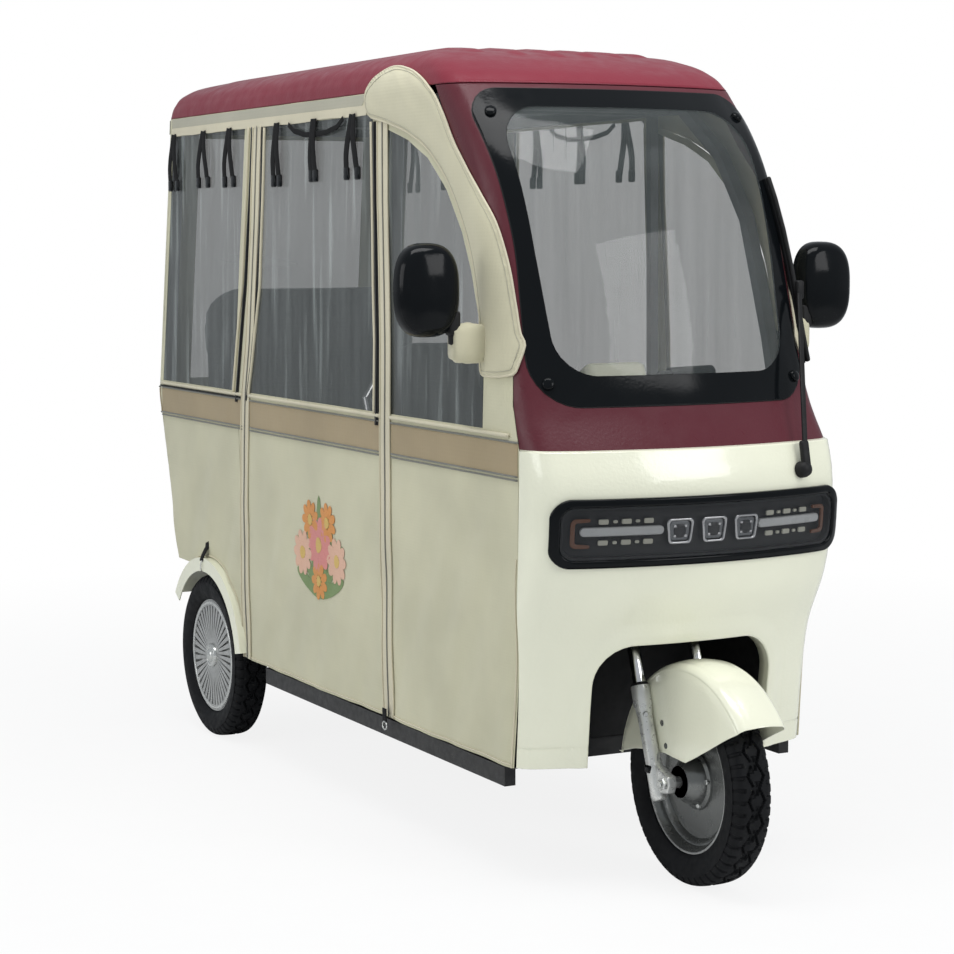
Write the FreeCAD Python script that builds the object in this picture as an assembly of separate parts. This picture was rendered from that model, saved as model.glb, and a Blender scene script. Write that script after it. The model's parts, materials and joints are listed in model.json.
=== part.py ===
import FreeCAD, Part
import math
import os

V = FreeCAD.Vector

# Electric passenger tricycle with a fabric cab, in millimetres.
# X runs across with the vehicle's left at +X, the front faces -Y and Z is up.
# The origin is on the floor, midway along the length.
# A station is a distance behind the front axle.

# Wheels and stance
WHEELBASE = 1850.0
REAR_TRACK = 640.0
TYRE_DIAMETER = 430.0
TYRE_WIDTH = 90.0
TYRE_SIDEWALL = 66.0
TREAD_HALF = 35.0
SHOULDER_DEPTH = 22.0
RIM_WALL = 4.0
RIM_LIP = 3.0
BEAD_SHARE = 0.62
HUB_DIAMETER = 66.0
AXLE_DIAMETER = 16.0
STUB_DIAMETER = 26.0
BEARING_GAP = 0.3
FRONT_REACH = 246.0
REAR_REACH = 425.0

# Steering
RAKE_DEGREES = 19.6
AXLE_LEAD = 45.0
STEERING_SETBACK = 33.0
FORK_SPREAD = 148.0
SLIDER_DIAMETER = 34.0
STANCHION_DIAMETER = 27.0
STEM_DIAMETER = 30.0
HEAD_TUBE_DIAMETER = 52.0
CROWN_HEIGHT = 528.0
CROWN_THICKNESS = 26.0
HEAD_LENGTH = 170.0
HANDLEBAR_HEIGHT = 950.0
HANDLEBAR_HALF = 285.0
POD_RISE = 45.0
HANDLEBAR_DIAMETER = 22.0
GRIP_DIAMETER = 34.0
GRIP_LENGTH = 118.0

# Cab skin
SKIRT_HEIGHT = 245.0
BELT_HEIGHT = 898.0
EAVES_HEIGHT = 1640.0
DRAWN_WALL = 742.0
ROOF_RISE = 92.0
PLATEAU_RISE = 14.0
BODY_HALF_WIDTH = 360.0
SKIRT_HALF_WIDTH = 354.0
EAVES_HALF_WIDTH = 350.0
NOSE_LEAD = 52.0
FRONT_BOW_RADIUS = 900.0
CORNER_RUN = 156.0
BACK_STATION = 2262.0
BACK_TUCK = 0.27
BACK_LEAN = 0.13
REAR_CORNER_RADIUS = 60.0
PANEL_THICKNESS = 4.0
CURTAIN_KNEE = 653.0
CURTAIN_THICKNESS = 3.0
SEAM_GAP = 0.3

# Wheel arch and lamps in the fairing
ARCH_HALF_WIDTH = 214.0
ARCH_TOP = 500.0
ARCH_CORNER_RADIUS = 85.0
ARCH_LIP_DEPTH = 34.0
ARCH_FLARE = 5.0
ARCH_FLARE_WIDTH = 16.0
LINER_THICKNESS = 3.0
LINER_BACK = 340.0
LINER_TOP = 606.0
LINER_FRONT = 70.0
LINER_SLOPE = 90.0
DASHBOARD_GAP = 94.0
DASHBOARD_HALF = 300.0
ARCH_CUT_FRONT = -400.0
ARCH_CUT_BACK = 160.0
LIP_CUT_BACK = 200.0
LAMP_DROP = 160.0
LAMP_HEIGHT = BELT_HEIGHT - LAMP_DROP
LAMP_BAR_HEIGHT = 138.0
LAMP_BAR_HALF = 337.0
LAMP_BEZEL_PROUD = 11.0
LAMP_BEZEL_RIM = 17.0
LAMP_DEPTH = 30.0
PROJECTOR_SIZE = 44.0
PROJECTOR_PITCH = 66.0
LIGHT_BAR_X = 187.0
LIGHT_BAR_HALF = 75.0
LIGHT_BAR_TALL = 8.0

# Windshield
SHIELD_SILL = 88.0
SHIELD_HEAD = 12.0
CLEAR_SILL = 56.0
CLEAR_HEAD = 83.0
SHIELD_BOTTOM = BELT_HEIGHT + SHIELD_SILL
SHIELD_TOP = EAVES_HEIGHT - SHIELD_HEAD
CLEAR_BOTTOM = SHIELD_BOTTOM + CLEAR_SILL
CLEAR_TOP = SHIELD_TOP - CLEAR_HEAD
SHIELD_HALF_BOTTOM = 322.0
SHIELD_HALF_TOP = 292.0
SHIELD_CORNER = 92.0
CLEAR_HALF_BOTTOM = 272.0
CLEAR_HALF_TOP = 250.0
CLEAR_CORNER = 84.0
GLASS_PROUD = 2.0

# Wiper, as X, station and height over the belt of its pivot, joint and blade ends
WIPER_PIVOT = (228.0, -32.0, -55.0)
WIPER_JOINT = (329.0, 152.0, 304.0)
WIPER_FOOT = (340.0, 124.0, 152.0)
WIPER_TIP = (305.0, 226.0, 544.0)
WIPER_ARM = 9.0
WIPER_CAP = 24.0

# Side curtains, by station
REAR_ZIP_TOP = 1540.0
REAR_ZIP_BELT = 1622.0
REAR_ZIP_FOOT = 1598.0
FRONT_ZIP_TOP = 779.0
FRONT_ZIP_BELT = 734.0
FRONT_ZIP_FOOT = 740.0
ZIP_GAP = 3.0
WINDOW_RISE = 34.0
WINDOW_DROP = 48.0
WINDOW_SILL = BELT_HEIGHT + WINDOW_RISE
WINDOW_HEAD = EAVES_HEIGHT - WINDOW_DROP
WINDOW_MARGIN = 30.0
WINDOW_THICKNESS = 1.2
BACK_WINDOW_HALF = 268.0
REAR_CURTAIN_BOTTOM = 450.0
ARCH_GAP = 4.0
FLAP_THICKNESS = 3.0
FLAP_RISE = 150.0
FLAP_FOOT = BELT_HEIGHT + FLAP_RISE

# Frame, floor and deck
TUBE_DIAMETER = 25.0
BOW_DIAMETER = 20.0
TUBE_INSET = 23.0
RAIL_WIDTH = 40.0
RAIL_DEPTH = 50.0
RAIL_SPREAD = 400.0
RAIL_BOTTOM = 190.0
KICK_UP = 205.0
KICK_STATION = 1500.0
CHASSIS_BACK = 2150.0
FLOOR_THICKNESS = 3.0
FLOOR_HALF_WIDTH = 338.0
DECK_HEIGHT = 486.0
DECK_STATION = 1565.0

# Seats
SEAT_BASE_HEIGHT = 330.0
DRIVER_SEAT_FRONT = 640.0
DRIVER_SEAT_LENGTH = 430.0
DRIVER_SEAT_HALF = 225.0
BENCH_FRONT = 1455.0
BENCH_LENGTH = 430.0
BENCH_HALF = 320.0
BENCH_BASE_HEIGHT = 145.0
CUSHION_THICKNESS = 105.0
BACKREST_THICKNESS = 80.0
DRIVER_BACKREST_TOP = 1090.0
BENCH_BACKREST_TOP = 1205.0
BACKREST_LEAN = 8.0
SOFT_GAP = 0.3

# Mudguards
REAR_GUARD_RADIUS = 262.0
REAR_GUARD_THICKNESS = 3.0
REAR_GUARD_LIP = 36.0
REAR_GUARD_HALF_WIDTH = 375.0
FRONT_GUARD_HALF_WIDTH = 54.5
FRONT_GUARD_RADIUS = 268.0
FRONT_GUARD_STATION = -34.0
FRONT_GUARD_HEIGHT = 197.0
FRONT_GUARD_BEVEL = 24.0
FRONT_GUARD_THICKNESS = 2.5

# Mirrors
MIRROR_CENTRE_X = 481.0
MIRROR_STATION = 282.0
MIRROR_WIDTH = 138.0
MIRROR_TALL = 190.0
MIRROR_DEPTH = 46.0
MIRROR_FLAT = 5.0
MIRROR_BEVEL = 20.0
MIRROR_RIM = 5.0
MIRROR_RECESS = 8.0
MIRROR_GLASS = 3.0
ARM_DIAMETER = 22.0
MIRROR_ARM_STATION = 258.0
MIRROR_ARM_RISE = 198.0
MIRROR_RISE = 118.0
MIRROR_ARM_HEIGHT = BELT_HEIGHT + MIRROR_ARM_RISE
MIRROR_HEIGHT = MIRROR_ARM_HEIGHT + MIRROR_RISE

# Rear plate for a stranger's bracket
HITCH_WIDTH = 130.0
HITCH_HEIGHT = 62.0
HITCH_PLATE = 6.0
HITCH_HOLE = 11.0
HITCH_HOLE_PITCH = 80.0
HITCH_HOLE_HEIGHT = 40.0

# Rear lamps
TAIL_LAMP_X = 150.0
MARKER_X = 300.0
MARKER_HEIGHT = 1530.0
MARKER_TALL = 84.0

# Running gear
FRONT_HUB_HALF = 46.0
REAR_HUB_IN = 48.0
RIM_HOLES = 9
COVER_VANES = 40
COVER_BACK = 14.0
COVER_FACE = 33.0
COVER_DROP = 10.0
COVER_CAP = 30.0
VANE_WIDTH = 13.0
VANE_SWEEP = 7.0
DRUM_DIAMETER = 150.0
DRUM_FACE = 268.0
AXLE_TUBE_DIAMETER = 60.0
MOTOR_DIAMETER = 170.0
MOTOR_LENGTH = 250.0
SPRING_WIDTH = 45.0
SPRING_LEAF = 7.0
SPRING_LEAVES = 3
SPRING_HALF_SPAN = 262.0
SPRING_CAMBER = 62.0

AXLE_HEIGHT = TYRE_DIAMETER / 2
MID_STATION = (WHEELBASE + REAR_REACH - FRONT_REACH) / 2
REAR_WHEEL_X = REAR_TRACK / 2
RAKE = math.radians(RAKE_DEGREES)
STEER_AXIS = V(0, math.sin(RAKE), math.cos(RAKE))
FLOOR_HEIGHT = RAIL_BOTTOM + RAIL_DEPTH
FRAME_SIDE = BODY_HALF_WIDTH - TUBE_INSET
ROOF_TOP = EAVES_HEIGHT + ROOF_RISE

FAIRING_LEVELS = 7
SHIELD_LEVELS = 9

# Fraction of the height up the fairing, and setback behind the nose
FAIRING_PROFILE = ((0.0, 114), (0.24, 98), (0.4, 78), (0.575, 24), (0.76, 0), (0.93, 4), (1.0, 18))
# The same from the belt to the eaves, set in from the fairing's top edge
SHIELD_PROFILE = ((0.0, 32), (0.094, 80), (0.217, 119), (0.356, 150), (0.496, 178),
                  (0.623, 207), (0.753, 249), (0.865, 307), (1.0, 404))
# Fraction of the roof's rise, further setback, and inset of the sides and back
ROOF_PROFILE = ((0.0, 0, 0), (0.36, 48, 9), (0.68, 128, 32), (0.88, 218, 70), (1.0, 330, 118))


def y_at(station):
    return station - MID_STATION


def box(x0, x1, s0, s1, z0, z1):
    return Part.makeBox(x1 - x0, s1 - s0, z1 - z0, V(x0, y_at(s0), z0))


def rod(start, end, diameter):
    span = end - start
    return Part.makeCylinder(diameter / 2, span.Length, start, span)


def bent_tube(points, diameter):
    # Straight runs with mitred joints
    route = Part.makePolygon(points)
    section = Part.Wire(Part.makeCircle(diameter / 2, points[0], points[1] - points[0]))
    return route.makePipeShell([section], True, False, 1)


def square_tube(points, width):
    # The same with a square section, one side of it along X or Z
    route = Part.makePolygon(points)
    run = points[1] - points[0]
    level = V(1, 0, 0) if abs(run.x) < abs(run.Length) / 2 else V(0, 1, 0)
    side = run.cross(level)
    side.normalize()
    level = side.cross(run)
    level.normalize()
    corners = [points[0] + (level * a + side * b) * (width / 2)
               for a, b in ((-1, -1), (1, -1), (1, 1), (-1, 1), (-1, -1))]
    return route.makePipeShell([Part.makePolygon(corners)], True, False, 1)


def fused(pieces):
    pieces = list(pieces)
    shape = pieces[0]
    if len(pieces) > 1:
        shape = shape.multiFuse(pieces[1:])
    return shape.removeSplitter()


def both_sides(shape):
    return [shape, shape.mirror(V(0, 0, 0), V(1, 0, 0))]


def side_prism(points, x0, x1):
    # A closed outline of stations and heights, pushed through in X
    outline = Part.makePolygon([V(x0, y_at(s), z) for s, z in points + points[:1]])
    return Part.Face(outline).extrude(V(x1 - x0, 0, 0))


def front_prism(points, s0, s1):
    # A closed outline of X and height, pushed through in Y
    outline = Part.makePolygon([V(x, y_at(s0), z) for x, z in points + points[:1]])
    return Part.Face(outline).extrude(V(0, s1 - s0, 0))


def round_along_y(shape, radius):
    edges = [e for e in shape.Edges if abs(e.tangentAt(e.FirstParameter).y) > 0.999]
    return shape.makeFillet(radius, edges)


def width_at(height):
    if height < BELT_HEIGHT:
        share = (height - SKIRT_HEIGHT) / (BELT_HEIGHT - SKIRT_HEIGHT)
        return SKIRT_HALF_WIDTH + (BODY_HALF_WIDTH - SKIRT_HALF_WIDTH) * min(1, 1.6 * share)
    share = min(1, (height - BELT_HEIGHT) / (EAVES_HEIGHT - BELT_HEIGHT))
    return BODY_HALF_WIDTH + (EAVES_HALF_WIDTH - BODY_HALF_WIDTH) * share


def back_at(height):
    if height < BELT_HEIGHT:
        return BACK_STATION - BACK_TUCK * (BELT_HEIGHT - height)
    return BACK_STATION - BACK_LEAN * (min(height, EAVES_HEIGHT) - BELT_HEIGHT)


def plan(height, front, half, back, inset):
    # One level of the cab: bowed front, straight sides, rounded back corners
    half, back, nose = half - inset, back - inset, front + inset
    bow = FRONT_BOW_RADIUS
    shares = (0.52, 0.82, 0.93, 0.972)
    rounding = (0.0, 0.0, 6.0, 22.0)
    corner_y = y_at(back - REAR_CORNER_RADIUS + inset)
    back_y = y_at(back)
    radius = REAR_CORNER_RADIUS - inset
    turn = radius * (1 - math.sqrt(0.5))
    edges = []
    for sign in (-1, 1):
        points = [V(0, y_at(nose), height)]
        for share, lag in zip(shares, rounding):
            x = half * share
            points.append(V(sign * x, y_at(nose + x * x / (2 * bow) + lag), height))
        points.append(V(sign * half, y_at(nose + CORNER_RUN), height))
        curve = Part.BSplineCurve()
        curve.interpolate(Points=points, InitialTangent=V(sign, 0, 0), FinalTangent=V(0, 1, 0))
        half_side = [curve.toShape(),
                     Part.LineSegment(points[-1], V(sign * half, corner_y, height)).toShape(),
                     Part.Arc(V(sign * half, corner_y, height),
                              V(sign * (half - turn), back_y - turn, height),
                              V(sign * (half - radius), back_y, height)).toShape()]
        edges += half_side if sign > 0 else half_side[::-1]
        if sign < 0:
            join = edges
            edges = []
    back_line = Part.LineSegment(V(half - radius, back_y, height),
                                 V(radius - half, back_y, height)).toShape()
    return Part.Wire(edges + [back_line] + join)


def levels(profile, low, high, count):
    # Heights and setbacks down a smooth side view through the profile's points
    curve = Part.BSplineCurve()
    curve.interpolate([V(0, setback, low + share * (high - low)) for share, setback in profile])
    return [(point.z, point.y) for point in curve.discretize(Number=count)]


def fairing_solid(inset):
    wires = [plan(height, setback - NOSE_LEAD, width_at(height), back_at(height), inset)
             for height, setback in levels(FAIRING_PROFILE, SKIRT_HEIGHT, BELT_HEIGHT, FAIRING_LEVELS)]
    return Part.makeLoft(wires, True, True)


def upper_solid(inset):
    wires = [plan(height, setback - NOSE_LEAD, width_at(height), back_at(height), inset)
             for height, setback in levels(SHIELD_PROFILE, BELT_HEIGHT, EAVES_HEIGHT, SHIELD_LEVELS)]
    base = SHIELD_PROFILE[-1][1] - NOSE_LEAD
    for share, setback, narrowing in ROOF_PROFILE[1:]:
        height = EAVES_HEIGHT + share * (ROOF_RISE - inset)
        wires.append(plan(height, base + setback, EAVES_HALF_WIDTH - narrowing,
                          back_at(height) - narrowing, inset))
    return Part.makeLoft(wires, True, True)




def upper_line(points):
    # Stations with heights over the belt, drawn for a wall of the usual height above it
    stretch = (EAVES_HEIGHT - BELT_HEIGHT) / DRAWN_WALL
    return [(station, BELT_HEIGHT + rise * stretch) for station, rise in points]


SEAM = [(149, SKIRT_HEIGHT), (131, SKIRT_HEIGHT + 186), (109, SKIRT_HEIGHT + 433), (104, BELT_HEIGHT)]
PILLAR_LINE = upper_line([(104, 0), (140, 87), (157, 182), (172, 282), (199, 369), (237, 452),
                          (287, 513), (344, 566), (402, 620), (450, 677), (495, DRAWN_WALL)])
FLAP_INNER = upper_line([(240, FLAP_RISE), (252, 194), (267, 275), (302, 366), (347, 447), (415, 531),
                         (509, 602), (607, 643), (708, 669), (FRONT_ZIP_TOP - ZIP_GAP, 682)])
FRONT_ZIP = [(FRONT_ZIP_FOOT, SKIRT_HEIGHT), (FRONT_ZIP_BELT, BELT_HEIGHT),
             (FRONT_ZIP_TOP, EAVES_HEIGHT)]
REAR_ZIP = [(REAR_ZIP_FOOT, SKIRT_HEIGHT), (REAR_ZIP_BELT, BELT_HEIGHT),
            (REAR_ZIP_TOP, EAVES_HEIGHT)]
REAR_SEAM = [(back_at(z) - REAR_CORNER_RADIUS, z)
             for z in (REAR_CURTAIN_BOTTOM, BELT_HEIGHT, EAVES_HEIGHT)]
FAR = 3000.0
WIDE = 600.0


def front_of(line, x0=-WIDE, x1=WIDE, gap=0.0):
    # Everything ahead of a seam seen from the side
    shifted = [(s - gap, z) for s, z in line]
    return side_prism(shifted + [(-FAR, line[-1][1]), (-FAR, line[0][1])], x0, x1)


def arch_prism(grow, s0=ARCH_CUT_FRONT, s1=LINER_BACK):
    half, top = ARCH_HALF_WIDTH + grow, ARCH_TOP + grow
    low = SKIRT_HEIGHT - 60
    prism = front_prism([(-half, low), (half, low), (half, top), (-half, top)], s0, s1)
    edges = [e for e in prism.Edges
             if abs(e.tangentAt(e.FirstParameter).y) > 0.999 and e.CenterOfMass.z > low + 1]
    return prism.makeFillet(ARCH_CORNER_RADIUS + grow, edges)


def lamp_prism(shrink):
    half, tall = LAMP_BAR_HALF - shrink, LAMP_BAR_HEIGHT / 2 - shrink
    bar = front_prism([(-half, LAMP_HEIGHT - tall), (half, LAMP_HEIGHT - tall),
                       (half, LAMP_HEIGHT + tall), (-half, LAMP_HEIGHT + tall)], -300, 140)
    return round_along_y(bar, tall * 0.55)


def shield_prism(bottom, top, half_bottom, half_top, corner, grow):
    half_bottom, half_top = half_bottom + grow, half_top + grow
    bottom, top = bottom - grow, top + grow
    outline = [(-half_bottom, bottom), (half_bottom, bottom), (half_top, top), (-half_top, top)]
    return round_along_y(front_prism(outline, -300, 700), corner + grow)


def border_prism(grow):
    return shield_prism(SHIELD_BOTTOM, SHIELD_TOP, SHIELD_HALF_BOTTOM, SHIELD_HALF_TOP,
                        SHIELD_CORNER, grow)


def clear_prism(grow):
    return shield_prism(CLEAR_BOTTOM, CLEAR_TOP, CLEAR_HALF_BOTTOM, CLEAR_HALF_TOP,
                        CLEAR_CORNER, grow)


def front_fairing(outer, inner):
    shell = outer.cut(inner).common(front_of(SEAM))
    proud = fairing_solid(-ARCH_FLARE)
    hole = arch_prism(0, ARCH_CUT_FRONT, ARCH_CUT_BACK)
    ring = arch_prism(ARCH_FLARE_WIDTH, ARCH_CUT_FRONT, ARCH_CUT_BACK).cut(hole)
    flare = proud.cut(inner).common(ring).common(front_of(SEAM))
    deep = outer.copy()
    deep.translate(V(0, ARCH_LIP_DEPTH, 0))
    rim = arch_prism(PANEL_THICKNESS, ARCH_CUT_FRONT, LIP_CUT_BACK)
    rim = rim.cut(arch_prism(0, ARCH_CUT_FRONT, LIP_CUT_BACK))
    lip = outer.cut(deep).common(rim).common(front_of(SEAM))
    body = shell.cut(hole)
    return body.multiFuse([flare, lip]).cut(lamp_prism(LAMP_BEZEL_RIM))


def wheel_well_liner():
    # Open below and in front, hung on the lip of the arch
    wall = LINER_THICKNESS
    grow = PANEL_THICKNESS + SEAM_GAP
    half = ARCH_HALF_WIDTH + grow + wall
    front = LINER_FRONT
    roof = ARCH_TOP + grow

    def outline(inset, extra):
        return [(front - extra, SKIRT_HEIGHT - extra), (LINER_BACK - inset, SKIRT_HEIGHT - extra),
                (LINER_BACK - inset, LINER_TOP - LINER_SLOPE - inset / 2),
                (LINER_BACK - LINER_SLOPE * 0.7 - inset / 2, LINER_TOP - inset),
                (front + 12 + inset / 2, LINER_TOP - inset), (front - extra, roof + wall - inset)]

    block = side_prism(outline(0, 0), -half, half)
    hollow = side_prism(outline(wall, 1), wall - half, half - wall)
    liner = block.cut(hollow).common(fairing_solid(PANEL_THICKNESS + SOFT_GAP))
    hole = rod(steer_point(LINER_TOP - 120), steer_point(LINER_TOP + 120), STEM_DIAMETER + 44)
    return liner.cut(hole)


def steer_point(height):
    # Point of the steering axis at a height
    lead = AXLE_LEAD + STEERING_SETBACK / math.cos(RAKE)
    return V(0, y_at(lead + (height - AXLE_HEIGHT) * math.tan(RAKE)), height)


def fork_point(side, height):
    lead = AXLE_LEAD + (height - AXLE_HEIGHT) * math.tan(RAKE)
    return V(side * FORK_SPREAD / 2, y_at(lead), height)


def windshield_surround(outer, inner):
    shell = outer.cut(inner).common(front_of(PILLAR_LINE))
    return shell.cut(border_prism(SEAM_GAP))


def windshield_border():
    shell = upper_solid(-GLASS_PROUD).cut(upper_solid(PANEL_THICKNESS - GLASS_PROUD))
    return shell.common(border_prism(0).cut(clear_prism(0)))


def windshield_glass():
    shell = upper_solid(-GLASS_PROUD).cut(upper_solid(PANEL_THICKNESS - GLASS_PROUD))
    return shell.common(clear_prism(-SEAM_GAP))


def roof_panel(outer, inner):
    above = box(-WIDE, WIDE, -400, FAR, EAVES_HEIGHT + SEAM_GAP, ROOF_TOP + 50)
    shell = outer.cut(inner).common(above)
    front = SHIELD_PROFILE[-1][1] - NOSE_LEAD + ROOF_PROFILE[-1][1]
    half = EAVES_HALF_WIDTH - ROOF_PROFILE[-1][2] - 12
    low, high = ROOF_TOP - 2, ROOF_TOP + PLATEAU_RISE

    def outline(inset, height):
        return Part.makePolygon([V(x, y_at(s), height) for x, s in (
            (-half + inset, front + 60 + inset), (0, front + 10 + inset),
            (half - inset, front + 60 + inset), (half - inset, REAR_ZIP_TOP + 60 - inset),
            (inset - half, REAR_ZIP_TOP + 60 - inset), (-half + inset, front + 60 + inset))])

    plateau = Part.makeLoft([outline(0, low), outline(10, high)], True, True)
    return fused([shell, plateau])


def headliner():
    half = EAVES_HALF_WIDTH - 24
    low = EAVES_HEIGHT - 30 + TUBE_DIAMETER / 2 + SOFT_GAP
    slab = box(-half, half, 590, back_at(EAVES_HEIGHT) - 30, low, low + 6)
    return round_along_z(slab, 45)


def lamp_bezel():
    shell = fairing_solid(-LAMP_BEZEL_PROUD).cut(fairing_solid(-0.3))
    ring = lamp_prism(0).cut(lamp_prism(LAMP_BEZEL_RIM))
    return shell.common(ring)


def lamp_lens():
    shell = fairing_solid(-LAMP_BEZEL_PROUD + 4).cut(fairing_solid(-LAMP_BEZEL_PROUD + 6))
    return shell.common(lamp_prism(LAMP_BEZEL_RIM + 0.4))


def lamp_units():
    # Tray behind the lens with three square projectors and a light bar each side
    back = fairing_solid(LAMP_DEPTH)
    tray = fairing_solid(PANEL_THICKNESS + SOFT_GAP).cut(back).common(lamp_prism(LAMP_BEZEL_RIM - 7))
    pieces = [tray]
    proud = fairing_solid(1)

    def block(x, half_wide, half_tall):
        return box(x - half_wide, x + half_wide, -100, 40, LAMP_HEIGHT - half_tall,
                   LAMP_HEIGHT + half_tall)

    size = PROJECTOR_SIZE / 2
    for i in (-1, 0, 1):
        x = i * PROJECTOR_PITCH
        frame = block(x, size, size).cut(block(x, size - 6, size - 6))
        pieces += [frame, block(x, size - 14, size - 14)]
    for side in (-1, 1):
        pieces.append(block(side * LIGHT_BAR_X, LIGHT_BAR_HALF, LIGHT_BAR_TALL))
    units = [tray] + [piece.common(proud).cut(back) for piece in pieces[1:]]
    return units[0].multiFuse(units[1:])


def wiper():
    # One arm from a cap at the foot of the shield to the middle of a tall blade
    pivot, joint, foot, tip = (V(x, y_at(station), BELT_HEIGHT + rise) for x, station, rise in (
        WIPER_PIVOT, WIPER_JOINT, WIPER_FOOT, WIPER_TIP))
    arm = rod(pivot, joint, WIPER_ARM)
    blade = rod(foot, joint, WIPER_ARM)
    blade_top = rod(joint, tip, WIPER_ARM)
    cap = rod(pivot - V(0, WIPER_ARM, 0), pivot + V(0, WIPER_CAP * 1.5, 0), WIPER_CAP)
    joined = fused([arm, blade, blade_top, cap])
    return joined.cut(upper_solid(-GLASS_PROUD - SEAM_GAP)).cut(fairing_solid(-SEAM_GAP))


def mirror_shell(sign, width, tall, depth, face_y):
    # Rounded outline pushed back from its rear face
    x, z = sign * MIRROR_CENTRE_X, MIRROR_HEIGHT
    body = Part.makeBox(width, depth, tall, V(x - width / 2, face_y - depth, z - tall / 2))
    return round_along_y(body, width / 2 - MIRROR_FLAT)


def mirror_pair():
    # Rounded shells open at the back for the glass, on square stems from the pillars
    housings, glasses = [], []
    face_y = y_at(MIRROR_STATION)
    z = MIRROR_HEIGHT
    size = ARM_DIAMETER
    for sign in (-1, 1):
        shell = mirror_shell(sign, MIRROR_WIDTH, MIRROR_TALL, MIRROR_DEPTH, face_y)
        rim = [e for e in shell.Edges if e.BoundBox.YMax < face_y - MIRROR_DEPTH + 1]
        shell = shell.makeChamfer(MIRROR_BEVEL, rim)
        edge = MIRROR_RIM
        recess = mirror_shell(sign, MIRROR_WIDTH - 2 * edge, MIRROR_TALL - 2 * edge,
                              MIRROR_RECESS, face_y)
        shell = shell.cut(recess)
        arm_y = y_at(MIRROR_ARM_STATION) - size / 2
        stem_x = sign * (MIRROR_CENTRE_X - MIRROR_WIDTH / 2 + 16)
        stem = Part.makeBox(size, size, z - MIRROR_ARM_HEIGHT - 30,
                            V(stem_x - size / 2, arm_y, MIRROR_ARM_HEIGHT))
        reach = sorted((sign * FRAME_SIDE, stem_x + sign * size / 2))
        arm = Part.makeBox(reach[1] - reach[0], size, size, V(reach[0], arm_y, MIRROR_ARM_HEIGHT))
        housings.append(fused([shell, stem.cut(recess), arm]))
        glass = mirror_shell(sign, MIRROR_WIDTH - 2 * edge - 2 * SOFT_GAP,
                             MIRROR_TALL - 2 * edge - 2 * SOFT_GAP, MIRROR_GLASS, face_y)
        glass.translate(V(0, MIRROR_GLASS + SOFT_GAP - MIRROR_RECESS, 0))
        glasses.append(glass)
    return housings, glasses


def side_slab(x_sign, inset, thickness):
    # The flat side of the cab as a standing slab between two offsets of its outline
    outer = [(SKIRT_HALF_WIDTH, SKIRT_HEIGHT), (BODY_HALF_WIDTH, CURTAIN_KNEE),
             (BODY_HALF_WIDTH, BELT_HEIGHT), (EAVES_HALF_WIDTH, EAVES_HEIGHT)]
    ring = [(x_sign * (x - inset), z) for x, z in outer]
    ring += [(x_sign * (x - inset - thickness), z) for x, z in reversed(outer)]
    return front_prism(ring, 60, BACK_STATION)


def line_at(line, height):
    # Station of a side-view line at a height
    for (s0, z0), (s1, z1) in zip(line, line[1:]):
        if z0 <= height <= z1:
            return s0 + (s1 - s0) * (height - z0) / (z1 - z0)
    return line[-1][0]


def window_outline(front, back, front_margin, back_margin):
    low, high = WINDOW_SILL, WINDOW_HEAD
    return [(line_at(front, low) + front_margin, low), (line_at(back, low) - back_margin, low),
            (line_at(back, high) - back_margin, high), (line_at(front, high) + front_margin, high)]


def front_panel_outline():
    outline = [(s + SEAM_GAP, z) for s, z in SEAM]
    outline += [(s + SEAM_GAP, z) for s, z in PILLAR_LINE if BELT_HEIGHT < z < FLAP_FOOT]
    outline.append((line_at(PILLAR_LINE, FLAP_FOOT) + SEAM_GAP, FLAP_FOOT - SEAM_GAP))
    outline += [(s + SEAM_GAP, z - SEAM_GAP) for s, z in FLAP_INNER]
    outline += [(s - ZIP_GAP / 2, z) for s, z in reversed(FRONT_ZIP) if z < WINDOW_HEAD - 20]
    return outline


def front_window_outline():
    outline = [(FLAP_INNER[0][0] + 22, WINDOW_SILL), (FLAP_INNER[0][0] + 20, FLAP_FOOT)]
    outline += [(s + 18, z - 12) for s, z in FLAP_INNER[1:-1]]
    outline.append((line_at(FRONT_ZIP, 1540) - WINDOW_MARGIN, FLAP_INNER[-1][1] - 20))
    outline.append((line_at(FRONT_ZIP, WINDOW_SILL) - WINDOW_MARGIN, WINDOW_SILL))
    return outline


def rear_panel_outline():
    zip_line = [(s + ZIP_GAP / 2, z) for s, z in REAR_ZIP]
    back = [(s - SEAM_GAP, z) for s, z in reversed(REAR_SEAM)]
    return zip_line + back + [(WHEELBASE, REAR_CURTAIN_BOTTOM), (WHEELBASE, SKIRT_HEIGHT)]


def middle_panel_outline():
    front = [(s + ZIP_GAP / 2, z) for s, z in FRONT_ZIP]
    return front + [(s - ZIP_GAP / 2, z) for s, z in reversed(REAR_ZIP)]


def mirror_arm_slot():
    size = ARM_DIAMETER / 2 + SEAM_GAP
    middle = MIRROR_ARM_HEIGHT + ARM_DIAMETER / 2
    return box(-WIDE, WIDE, MIRROR_ARM_STATION - size, MIRROR_ARM_STATION + size, middle - size,
               middle + size)


def wheel_cut(x0, x1, radius):
    return Part.makeCylinder(radius, x1 - x0, V(x0, y_at(WHEELBASE), AXLE_HEIGHT), V(1, 0, 0))


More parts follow.
